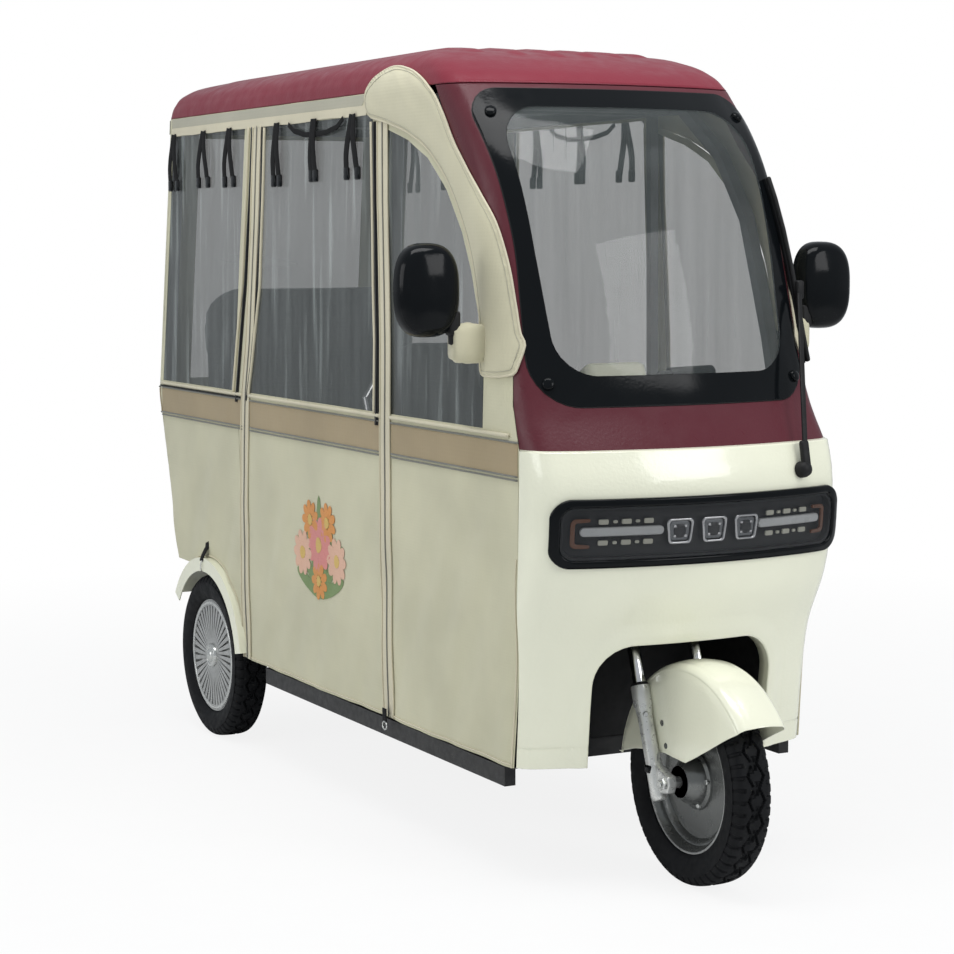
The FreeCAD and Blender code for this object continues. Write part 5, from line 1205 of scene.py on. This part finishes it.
def build_lamps():
    """The lamp bar: glossy bezel, smoked cover, three projectors, light bars and their chips."""
    skin = fairing_skin
    bezel = panel("lamp_frame", skin, [lamp_outline(0), lamp_outline(17)], black_gloss, thickness=10.5,
                  edge=5.0, spacing=9.0, step=7.0, lift=level(11.0))
    panel("lamp_inner_frame", skin, [lamp_outline(16.5), lamp_outline(21)], lamp_grey, thickness=18.0,
          edge=1.0, spacing=9.0, step=7.0, lift=level(4.0))
    cover = panel("lamp_cover", skin, [lamp_outline(16.8)], smoke, thickness=0, spacing=16.0,
                  lift=level(7.0))
    tray = panel("lamp_tray", skin, [lamp_outline(12)], lamp_grey, thickness=3.0, spacing=16.0,
                 lift=lambda r, z: 5 * np.clip(np.abs(z - LAMP_HEIGHT) / 52, 0, 1) ** 3 - 12.0)
    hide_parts("lamp_bezel")
    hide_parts("lamp_lens")
    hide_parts("lamp_units")
    middle = LAMP_HEIGHT - 1
    for k, x in enumerate((-77, 1, 79)):
        lamp_part("projector_frame%d" % k, chrome, 2.5, 9.0, 2.2, tapered(x, middle, 31, 25, 26, 9),
                  tapered(x, middle, 24.8, 20, 20.8, 7.2))
        lamp_part("projector_glass%d" % k, crystal, -1.5, 6.0, 2.6, tapered(x, middle, 24, 20, 20, 8))
        lamp_part("projector_core%d" % k, dark_glass, 1.0, 4.0, 3.0, tapered(x, middle, 15, 13, 14, 10))
        for j in range(4):
            a = math.pi / 4 + j * math.pi / 2
            place = x + 17 * math.cos(a), middle + 14 * math.sin(a)
            lamp_part("projector_facet%d_%d" % (k, j), chrome, 1.6, 3.0, 0.8,
                      tapered(*place, 3, 3, 2.4, 1.2), spacing=3.0)
    for sign, side in SIDES:
        lamp_part("light_bar_" + side, diffuser, 1.0, 8.0, 2.6, tapered(sign * 198, 741, 86, 86, 9, 8.6))
        for row, z in (("upper", 761), ("lower", 719)):
            for j, (offset, wide, tall) in enumerate(((-48, 10, 5), (-24, 4.5, 3), (-1, 10, 5),
                                                      (22, 4.5, 3), (45, 10, 5))):
                lamp_part("chip_%s_%s%d" % (side, row, j), chip_white, 0.0, 3.0, 0.8,
                          tapered(sign * 190 + offset, z, wide, wide, tall, 2.6), spacing=4.0)
        bracket = [((sign * (302 - inset), z), radius) for inset, z, radius in TURN_LAMP[::sign]]
        lamp_part("turn_lamp_" + side, amber, 0.5, 5.0, 1.4, tuple(zip(*bracket)), spacing=5.0)


def build_wiper():
    """The wiper: cap, heel, arm and a blade that follows the glass."""
    def front(x, z, proud):
        return on_skin(fairing_skin if z < BELT else shield_skin, x, z, proud)[0]

    def bar(name, points, width, thickness, material, tilt):
        strap("wiper_" + name, points, width, thickness, material, (0, -1, tilt), slot="black_matte")
    pivot, out = on_skin(fairing_skin, 228, 843, 1.0)
    cap = lathe("wiper_cap", [(0.0, 0.017), (0.012, 0.017), (0.02, 0.014), (0.024, 0.008), (0.0255, 0.003)],
                pivot, out, black_matte, steps=36)
    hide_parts("wiper")
    root = pivot + out * 0.014
    knee = root + Vector((0.006, 0.012, 0.055))
    joint = front(329, 1202, 24)
    soft_block("wiper_heel", (root + knee) / 2, (0.02, 0.014, 0.062), 0.006, black_matte,
               turn=Matrix.Rotation(math.radians(-12), 4, "X"))
    bar("arm", [knee, knee.lerp(joint, 0.3), knee.lerp(joint, 0.65), joint], 0.011, 0.006, black_matte, 0.2)
    line = [(336, 1110), (331, 1180), (326, 1250), (318, 1330), (311, 1395)]
    for name, proud, foot, tip, width, thickness, material in (
            ("blade", 15, 1052, 1440, 0.009, 0.014, black_matte),
            ("rubber", 6, 1050, 1441, 0.004, 0.011, rubber)):
        points = [front(x, z, proud) for x, z in ((340, foot), *line, (305, tip))]
        bar(name, points, width, thickness, material, 0.3)
    soft_block("wiper_joint", joint, (0.018, 0.016, 0.04), 0.005, black_matte)


def build_mirrors():
    """Glossy domed shells on square stems, with the glass set back in a rim."""
    for sign, side in SIDES:
        centre, rings, count = Vector((sign * 0.481, FRONT_AXLE_Y + 0.282, 1.214)), [], 56
        for t in np.linspace(0, 1, 14):
            scale = max((1 - t ** 3.2) ** 0.5, 0.02)
            wide, tall = 0.069 * (0.45 + 0.55 * scale), 0.095 * (0.6 + 0.4 * scale)
            if t == 1:
                wide, tall = wide * 0.3, tall * 0.5
            rings.append([centre + Vector((wide * squared(math.cos(a), 2 / 2.7), -0.048 * t,
                                           tall * squared(math.sin(a), 2 / 2.7))) for a in circle(count)])
        rim = rings[0]
        for share, depth in ((0.94, 0.0), (0.93, -0.008)):
            rings.insert(0, [centre + (p - centre) * share + Vector((0, depth, 0)) for p in rim])
        vertices = [p for ring in rings for p in ring]
        faces = grid_faces(len(rings), count) + end_faces(len(rings), count)[1:]
        shell = new_piece("mirror_shell_" + side, vertices, faces, black_gloss)
        if sign < 0:
            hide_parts("mirror_housings")
        crisp(shell, 45)
        x, y = 0.428, MIRROR_ARM_Y
        arm = [(0.337, y, 1.107), (0.42, y, 1.107), (x, y, 1.109), (x, y, 1.13),
               (x + 0.002, y + 0.002, 1.165)]
        tube("mirror_arm_" + side, on_side(sign, arm), 0.0105, black_matte, sides=14)
        soft_block("mirror_foot_" + side, (sign * (x + 0.001), y - 0.001, 1.147), (0.026, 0.026, 0.05),
                   0.006, black_matte)


HALF_TREAD, WHEEL_HEIGHT, TYRE_STEPS = 0.0432, 0.215, 540
GROOVE, SHOULDER_CUT, SLIT = 0.0058, 0.0045, 0.0035
FRONT_HUB = Vector((0, FRONT_AXLE_Y, WHEEL_HEIGHT))
REAR_HUB_X, REAR_HUB_Y = 0.32, 0.8355


def tread_depth(x, i):
    """How deep the pattern is cut at an offset across the tread, at a step round the tyre."""
    zig = abs((i * 27.0 / TYRE_STEPS) % 1.0 - 0.5) * 4 - 1
    drop = 0.0
    if any(abs(x - base - zig * swing) < 0.0026 for base, swing in ((-0.0125, 0.0062), (0.0125, -0.0062))):
        drop = GROOVE
    if abs(x) < 0.0035 + 0.0022 * zig and zig > -0.2:
        drop = GROOVE
    if abs(x) > 0.0235 and (i * 54.0 / TYRE_STEPS + (0.5 if x > 0 else 0)) % 1.0 < 0.2:
        drop = max(drop, SHOULDER_CUT)
    if 0.004 < abs(x) < 0.012 and (i * 27.0 / TYRE_STEPS + (0.25 if x > 0 else 0.75)) % 1.0 < 0.11:
        drop = max(drop, SLIT)
    return drop


def tyre_mesh():
    """A road tyre with zigzag grooves between its blocks and ribs on the shoulders."""
    wall = [(0.0279, 0.149), (0.034, 0.1515), (0.0385, 0.158), (0.0425, 0.17), (0.045, 0.184),
            (0.0445, 0.195)]
    crown = []
    for x in -HALF_TREAD + 2 * HALF_TREAD * np.arange(35) / 34:
        share = abs(x) / HALF_TREAD
        crown.append((x, WHEEL_HEIGHT - 0.0035 * share ** 2 - 0.0165 * share ** 9))
    section = [(-x, r) for x, r in wall] + crown + wall[::-1]
    vertices = []
    for i, a in enumerate(circle(TYRE_STEPS)):
        for x, r in section:
            if abs(x) < 0.0435 and r > 0.19:
                r -= tread_depth(x, i)
            vertices.append((x, r * math.cos(a), r * math.sin(a)))
    return vertices, grid_faces(TYRE_STEPS, len(section), ring=False, wrap=True)


# Profiles as (offset along the axle, radius)
COVER_RING = [(0.018, 0.134), (0.030, 0.134), (0.0335, 0.137), (0.034, 0.142), (0.031, 0.1465),
              (0.022, 0.1485)]
COVER_CAP = [(0.030, 0.0325), (0.0365, 0.032), (0.040, 0.029), (0.041, 0.0235), (0.0395, 0.022),
             (0.0395, 0.018), (0.0425, 0.0165), (0.0455, 0.012), (0.047, 0.004)]
RIM_STEP = [(0.003, 0.146), (0.024, 0.146), (0.030, 0.149), (0.031, 0.1455), (0.027, 0.139), (0.014, 0.133),
            (0.011, 0.124), (0.0045, 0.119)]
HUB_FLANGE = [(0.004, 0.062), (0.009, 0.060), (0.012, 0.052), (0.030, 0.046), (0.036, 0.040), (0.046, 0.034)]
HUB_BOLT = [(0, 0.006), (0.005, 0.006), (0.0062, 0.0045)]


def build_wheels():
    """Treads, rear wheel covers, and the front wheel's rim steps, flanges and bolts."""
    first = None
    for name, x, y, body in (("front_tyre", 0.0, FRONT_AXLE_Y, "front_wheel"),
                             ("rear_tyre_right", -REAR_HUB_X, REAR_HUB_Y, "rear_wheel_right"),
                             ("rear_tyre_left", REAR_HUB_X, REAR_HUB_Y, "rear_wheel_left")):
        if first is None:
            piece = first = new_piece(name + "_tread", *tyre_mesh(), rubber, body)
            crisp(piece, 32)
        else:
            piece = first.copy()
            piece.name, piece.parent = name + "_tread", None
            bpy.context.collection.objects.link(piece)
        piece.matrix_world = Matrix.Translation((x, y, WHEEL_HEIGHT))
        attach(piece, body)
        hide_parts(name)
    for sign, side in SIDES:
        hub, out, body = (sign * REAR_HUB_X, REAR_HUB_Y, WHEEL_HEIGHT), (sign, 0, 0), "rear_wheel_" + side
        lathe("cover_ring_" + side, COVER_RING, hub, out, bright, body, steps=96)
        lathe("cover_cap_" + side, COVER_CAP, hub, out, bright, body, steps=64)
        lathe("rim_step_" + side, RIM_STEP, FRONT_HUB, out, wheel_grey, "front_wheel", steps=96)
        lathe("hub_flange_" + side, HUB_FLANGE, FRONT_HUB, out, wheel_grey, "front_wheel", steps=64)
        for k in range(5):
            a = 2 * math.pi * (k + 0.4) / 5
            place = FRONT_HUB + Vector((sign * 0.0105, math.cos(a) * 0.053, math.sin(a) * 0.053))
            lathe("hub_bolt%d_%s" % (k, side), HUB_BOLT, place, out, bright, "front_wheel", steps=6)


GUARD_CENTRE, GUARD_RADIUS, GUARD_HALF, GUARD_CORNER, GUARD_CROWN = (-34.0, 197.0), 268.0, 54.5, 20.0, 4.5
GUARD_SKIRT = ((-246, 362), (-200, 344), (-120, 302), (-40, 262), (40, 268), (150, 258), (223, 236),
               (300, 236))


def guard_section(up, along):
    """Half of the mudguard's section at one angle, from the foot of its skirt to its middle."""
    radius, half, corner, crown = GUARD_RADIUS, GUARD_HALF, GUARD_CORNER, GUARD_CROWN
    # How far the skirt reaches down towards the middle at this angle
    reach = 0.0
    for r in np.arange(radius - 20, 60, -1.5):
        if GUARD_CENTRE[1] + r * up < np.interp(GUARD_CENTRE[0] + r * along, *zip(*GUARD_SKIRT)):
            break
        reach = radius - r
    reach = max(reach, 4.0)
    foot = radius - reach
    section = [(half, foot + (reach - corner) * t) if reach > corner else
               (half, radius - reach * (1 - t) - corner * t) for t in np.linspace(0, 1, 10)]
    for b in np.linspace(0, 1, 9)[1:] * math.pi / 2:
        section.append((half - corner * (1 - math.cos(b)), radius - corner + corner * math.sin(b) - crown))
    for x in (half - corner) * (1 - np.linspace(0, 1, 7)[1:]):
        section.append((x, radius - crown * (x / (half - corner)) ** 2))
    return section


def build_front_guard():
    """The cream mudguard: crowned across, with deep side skirts cut away low down."""
    rows = []
    for a in np.radians(np.linspace(-50.5, 81.0, 90)):
        up, along = math.cos(a), math.sin(a)
        section = guard_section(up, along)
        full = [(-x, r) for x, r in section] + section[-2::-1]
        rows.append([(x, GUARD_CENTRE[0] + r * along, GUARD_CENTRE[1] + r * up) for x, r in full])
    rows = np.array(rows)
    for _ in range(3):
        rows[1:-1] = (rows[:-2] + 2 * rows[1:-1] + rows[2:]) / 4
    guard = new_piece("front_guard", in_metres(rows.reshape(-1, 3)),
                      grid_faces(len(rows), rows.shape[1], ring=False), cream_gloss, "steering")
    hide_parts("front_mudguard")
    walled(guard, 0.0025, 1.0)
    bevelled(guard, 0.001).angle_limit = math.radians(60)
    for sign, _ in SIDES:
        for k, (s, z) in enumerate(((50, 329), (35, 284))):
            lathe("guard_bolt%d_%d" % (k, sign + 1), [(-0.001, 0.0075), (0.0012, 0.0075), (0.003, 0.006),
                                                      (0.0036, 0.003)], spot(sign * 54.6, s, z),
                  (sign, 0, 0), wheel_grey, "steering", steps=24)


RAKE = math.radians(19.6)
FORK_AXIS = Vector((0, math.sin(RAKE), math.cos(RAKE)))
STEM_TOP, STEM_OFFSET, FORK_LEAD, LEG_X = 930.0, 33, 45, 74
# Name, profile, height on the leg, finish and steps of each turned part of a leg
LEG_PARTS = (
    ("fork_slider", [(0, 0.0115), (0.002, 0.0145), (0.008, 0.0165), (0.060, 0.0165), (0.078, 0.0155),
                     (0.172, 0.0155), (0.186, 0.017), (0.200, 0.0195), (0.234, 0.0195), (0.239, 0.0185),
                     (0.2395, 0.0145)], 173, cast_silver, 56),
    ("fork_dust_cap", [(0, 0.018), (0.003, 0.018), (0.006, 0.0145)], 398.5, black_matte, 40),
    ("fork_stanchion", [(0, 0.0135), (0.166, 0.0135)], 398, chrome, 40),
    ("fork_clamp", [(0, 0.020), (0.002, 0.0225), (0.024, 0.0225), (0.026, 0.020)], 529.5, cast_silver, 40),
)
GUSSET = ((-17, 214, 6), (-8, 195, 6), (12, 192, 6), (46, 198, 10), (56, 232, 6), (80, 296, 3), (66, 290, 6),
          (38, 246, 12), (6, 234, 6), (-12, 230, 6))
AXLE_PARTS = (("axle_nut", [(0.080, 0.0125), (0.088, 0.0125), (0.090, 0.011)], 6),
              ("axle_end", [(0.046, 0.012), (0.062, 0.012), (0.063, 0.008), (0.094, 0.008),
                            (0.0955, 0.0068)], 32))


def leg_at(side, z):
    """The middle of a fork leg at a height."""
    return spot(side * LEG_X, FORK_LEAD + (z - AXLE_HEIGHT) * math.tan(RAKE), z)


def build_gusset(side, name):
    """The cast plate between a slider and the axle, with rounded edges."""
    outline = rounded([(s, z) for s, z, _ in GUSSET], [radius for *_, radius in GUSSET])
    mesh = bmesh.new()
    inner, outer = ([mesh.verts.new(tuple(p)) for p in in_metres([(side * x, s, z) for s, z in outline])]
                    for x in (60.5, 80.5))
    near, far = mesh.faces.new(inner), mesh.faces.new(outer[::-1])
    for k in range(len(outline)):
        j = (k + 1) % len(outline)
        mesh.faces.new((inner[j], inner[k], outer[k], outer[j]))
    bmesh.ops.recalc_face_normals(mesh, faces=mesh.faces[:])
    bmesh.ops.bevel(mesh, geom=list(near.edges) + list(far.edges), offset=0.0028, segments=3,
                    affect="EDGES", profile=0.5)
    crisp(from_bmesh(name, mesh, (0, 0, 0), cast_silver, "steering"), 40)


def build_fork():
    """Telescopic fork: sliders with stepped collars, gussets to the axle, crown and stem."""
    for side, name in SIDES:
        for part, profile, z, material, steps in LEG_PARTS:
            piece = lathe("%s_%s" % (part, name), profile, leg_at(side, z), FORK_AXIS, material, "steering",
                          slot="alloy" if material is chrome else None, steps=steps)
            if part == "fork_slider" and side < 0:
                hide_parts("fork")
        build_gusset(side, "fork_gusset_" + name)
        for part, profile, steps in AXLE_PARTS:
            lathe("%s_%s" % (part, name), profile, FRONT_HUB, (side, 0, 0), bright, "steering", steps=steps)
        soft_block("fork_plug_" + name, leg_at(side, 236) + Vector((side * 0.0145, -0.001, 0)),
                   (0.008, 0.018, 0.016), 0.003, black_gloss, "steering", slot="black_matte")
        stud = leg_at(side, 345) + Vector((side * 0.006, -0.0155, 0))
        lathe("guard_stud_" + name, [(-0.008, 0.006), (0.004, 0.006), (0.0055, 0.0045)], stud,
              (side * 0.5, -1, 0.1), bright, "steering", steps=20)
    soft_block("fork_crown", leg_at(0, 541) + Vector((0, 0.016, 0)), (0.15, 0.062, 0.026), 0.006,
               cast_silver, "steering", turn=Matrix.Rotation(-RAKE, 4, "X"))
    lead = FORK_LEAD + STEM_OFFSET / math.cos(RAKE)
    stem = [spot(0, lead + (z - AXLE_HEIGHT) * math.tan(RAKE), z) for z in (530, 700, STEM_TOP)]
    tube("fork_stem", stem, 0.015, silver, "steering", sides=32)


# Middle, reach, width, cloth and number of petals of each printed daisy
DAISIES = (((1060, 652), 48, 27, orange_print, 9), ((1162, 650), 48, 27, orange_print, 9),
           ((1010, 566), 56, 32, peach_print, 10), ((1212, 566), 56, 32, peach_print, 10),
           ((1110, 594), 68, 38, pink_print, 11), ((1112, 508), 46, 26, orange_print, 9))
LEAVES = ((158, 150), (134, 190), (112, 215), (90, 245), (68, 215), (46, 190), (22, 150))


def build_emblem(sign, side):
    """A plain fan of daisies and leaves printed on the curtain."""
    skin, over = SideSkin(sign), side_lift(SIDE_SEED)
    petals = [((1110, 468), angle, length, 34, leaf_print, 1.3, 0) for angle, length in LEAVES]
    for centre, reach, wide, cloth, number in DAISIES:
        petals += [(centre, 360 / number * k, reach - 12, wide * 0.85, cloth, 1.9 + 0.12 * (k % 2), 12)
                   for k in range(number)]
        start = centre[0] - reach * 0.27, centre[1]
        petals.append((start, 0, reach * 0.54, reach * 0.6, core_print, 2.5, 0))
    for k, (centre, angle, length, width, cloth, raised, root) in enumerate(petals):
        way = np.array((math.cos(math.radians(angle)), math.sin(math.radians(angle))))
        loop = []
        for t in np.linspace(0, 2 * math.pi, 18, endpoint=False):
            reach = 0.5 - 0.5 * math.cos(t)
            loop.append(centre + way * (root + length * reach)
                        + np.array((-way[1], way[0])) * width * 0.5 * math.sin(t) * (0.75 + 0.35 * reach))
        panel("emblem%d_%s" % (k, side), skin, [loop], cloth, thickness=0.3, edge=0.1, spacing=12.0,
              step=6.0, lift=level(raised, over))


CLOTH_FRAMES, CUSHION_VOXEL, CUSHION_SWELL = 16, 0.013, 0.016


def evaluated(piece):
    """The piece's mesh with its modifiers applied, put in place of the modifiers."""
    mesh = bpy.data.meshes.new_from_object(piece.evaluated_get(bpy.context.evaluated_depsgraph_get()))
    piece.modifiers.clear()
    piece.data = mesh
    return mesh


def build_cushion(name, node):
    """A cushion from its solid: a closed skin blown up as cloth, then smoothed."""
    piece = bpy.data.objects.new(name, nodes[node].data.copy())
    bpy.context.collection.objects.link(piece)
    low, high = (Vector(corner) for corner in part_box(node))
    middle, size = (low + high) / 2, high - low
    shrink = Vector([1 - 2 * CUSHION_SWELL * 0.45 / max(side, 0.02) for side in size])
    for vertex in piece.data.vertices:
        vertex.co = Vector([middle[i] + (vertex.co[i] - middle[i]) * shrink[i] for i in range(3)])
    piece.data.materials.clear()
    piece.data.materials.append(seat_cloth)
    bpy.context.view_layer.objects.active = piece
    remesh = piece.modifiers.new("skin", "REMESH")
    remesh.mode, remesh.voxel_size = "VOXEL", CUSHION_VOXEL
    rest = [Vector(v.co) for v in evaluated(piece).vertices]
    cloth = piece.modifiers.new("blown", "CLOTH")
    cloth.settings.use_pressure, cloth.settings.uniform_pressure_force = True, 4.0
    cloth.settings.effector_weights.gravity = 0.0
    cloth.settings.quality = 4
    cloth.point_cache.frame_start, cloth.point_cache.frame_end = 1, CLOTH_FRAMES
    for number in range(1, CLOTH_FRAMES + 1):
        bpy.context.scene.frame_set(number)
    for vertex, start in zip(evaluated(piece).vertices, rest):
        move = vertex.co - start
        if move.length > CUSHION_SWELL:
            vertex.co = start + move.normalized() * CUSHION_SWELL
    bpy.context.scene.frame_set(1)
    piece.data.polygons.foreach_set("use_smooth", [True] * len(piece.data.polygons))
    smooth = piece.modifiers.new("smooth", "SUBSURF")
    smooth.levels = smooth.render_levels = 1
    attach(piece, "cab")
    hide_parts(node)


def build_ties():
    """Each rear hem's strap to its mudguard, and the tab and steel clasp at the foot of each front zip."""
    for sign, side in SIDES:
        y = (1858 - MID_STATION) * MM
        line = [(0.3575, y, 0.532), (0.3605, y, 0.505), (0.372, y, 0.484), (0.3775, y, 0.468)]
        strap("guard_strap_" + side, on_side(sign, line), 0.022, 0.0022, webbing, (sign, 0, 0.2))
        line = [(0.378, y - 0.006, 0.470), (0.3795, y, 0.461), (0.379, y + 0.001, 0.449), (0.377, y, 0.441)]
        tube("guard_hook_" + side, on_side(sign, line), 0.0018, bright)
        x, y = 0.3655, (735 - MID_STATION) * MM
        line = [(x, y, 0.268), (x, y, 0.252), (x * 0.998, y, 0.236)]
        strap("hem_tab_" + side, on_side(sign, line), 0.02, 0.0024, webbing, (sign, 0, 0))
        ring = [(x * 0.998, y + 0.011 * math.sin(a), 0.229 + 0.009 * math.cos(a)) for a in circle(20)]
        tube("hem_clasp_" + side, on_side(sign, ring), 0.002, bright, closed=True)


# Camera at the photograph's viewing angle
CAMERA_PLACE = Vector((-2.5903, -5.0828, 1.3184))
CAMERA_AZIMUTH, CAMERA_PITCH, CAMERA_ROLL = (math.radians(a) for a in (-27.12, 5.71, -0.16))
CAMERA_LENS = 90.17


def stand(thing, rotation, place):
    """Puts a camera or a lamp in its place."""
    thing.matrix_world = rotation.to_4x4()
    thing.matrix_world.translation = place
    bpy.context.collection.objects.link(thing)


def add_camera():
    back = Vector((math.sin(CAMERA_AZIMUTH) * math.cos(CAMERA_PITCH),
                   -math.cos(CAMERA_AZIMUTH) * math.cos(CAMERA_PITCH), math.sin(CAMERA_PITCH)))
    level_way = (-back).cross(Vector((0, 0, 1))).normalized()
    above = level_way.cross(-back)
    turn, lean = math.cos(CAMERA_ROLL), math.sin(CAMERA_ROLL)
    right, up = level_way * turn + above * lean, above * turn - level_way * lean
    data = bpy.data.cameras.new("camera")
    data.lens, data.sensor_width = CAMERA_LENS, 36.0
    camera = bpy.data.objects.new("camera", data)
    stand(camera, Matrix((right, up, back)).transposed(), CAMERA_PLACE)
    bpy.context.scene.camera = camera


def add_area(name, place, target, size, power):
    data = bpy.data.lights.new(name, "AREA")
    data.shape, data.energy, data.spread = "RECTANGLE", power, math.radians(180)
    data.size, data.size_y = size
    aim = Vector(target) - Vector(place)
    stand(bpy.data.objects.new(name, data), aim.to_track_quat("-Z", "Y").to_matrix(), Vector(place))


def add_stage():
    """A floor that fades to plain white before its horizon, under an even sky."""
    mesh, reach = bpy.data.meshes.new("floor"), 30.0
    mesh.from_pydata([(-reach, -reach, 0), (reach, -reach, 0), (reach, reach, 0), (-reach, reach, 0)],
                     [], [(0, 1, 2, 3)])
    floor = bpy.data.objects.new("floor", mesh)
    bpy.context.collection.objects.link(floor)
    g = Graph("pale_floor")
    speck = g.remap(g.noise(9.0, 3.0), 0.0, 1.0)
    plain = g.add("ShaderNodeBsdfDiffuse", Color=g.blend(speck, (0.80, 0.80, 0.80), (0.83, 0.83, 0.83)))
    white = g.add("ShaderNodeEmission", Color=(1, 1, 1), Strength=1.0)
    far = g.add("ShaderNodeVectorMath", {"operation": "LENGTH"}, i0=g.place).outputs["Value"]
    seen = g.add("ShaderNodeLightPath").outputs["Is Camera Ray"]
    share = g.maths("MULTIPLY", seen, g.remap(far, 0.86, 1.0, 1.2, 4.0))
    mix = g.add("ShaderNodeMixShader", i0=share, i1=plain.outputs[0], i2=white.outputs[0])
    g.feed(g.output.inputs[0], mix.outputs[0])
    mesh.materials.append(g.material)
    world = bpy.data.worlds.new("studio")
    world.use_nodes = True
    tree = world.node_tree
    tree.nodes.clear()
    mix = tree.nodes.new("ShaderNodeMixShader")
    tree.links.new(tree.nodes.new("ShaderNodeLightPath").outputs["Is Camera Ray"], mix.inputs[0])
    for k, (colour, strength) in enumerate((((0.9, 0.95, 1.0, 1), 0.5), ((1, 1, 1, 1), 1.0))):
        sky = tree.nodes.new("ShaderNodeBackground")
        sky.inputs["Color"].default_value, sky.inputs["Strength"].default_value = colour, strength
        tree.links.new(sky.outputs[0], mix.inputs[k + 1])
    tree.links.new(mix.outputs[0], tree.nodes.new("ShaderNodeOutputWorld").inputs[0])
    bpy.context.scene.world = world
    bpy.context.scene.view_settings.view_transform = "Standard"


build_fairing()
build_ledge()
build_trim_line()
build_surround()
build_roof()
for sign, side in SIDES:
    front_pane = build_side(sign, side)
    build_trim(sign, side)
    build_header(sign, side)
    flap = build_flap(sign, side)
    build_emblem(sign, side)
    if side == "right":
        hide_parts("curtain_windows")
        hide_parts("pillar_flaps")
build_back()
build_ties()
build_lamps()
build_wiper()
build_mirrors()
build_wheels()
build_front_guard()
build_fork()
for name, node in (("bench_pad", "bench_cushion"), ("bench_back_pad", "bench_backrest"),
                   ("driver_pad", "driver_cushion"), ("driver_back_pad", "driver_backrest")):
    build_cushion(name, node)
add_camera()
add_stage()
add_area("ceiling_strip", (-0.6, -1.2, 4.2), (0, 0, 0.9), (3.2, 1.4), 95)
add_area("front_fill", (1.8, -4.6, 2.6), (0, -0.6, 0.9), (2.0, 2.0), 60)
add_area("side_fill", (-4.6, 0.2, 2.2), (0, 0.2, 0.9), (2.6, 2.0), 45)
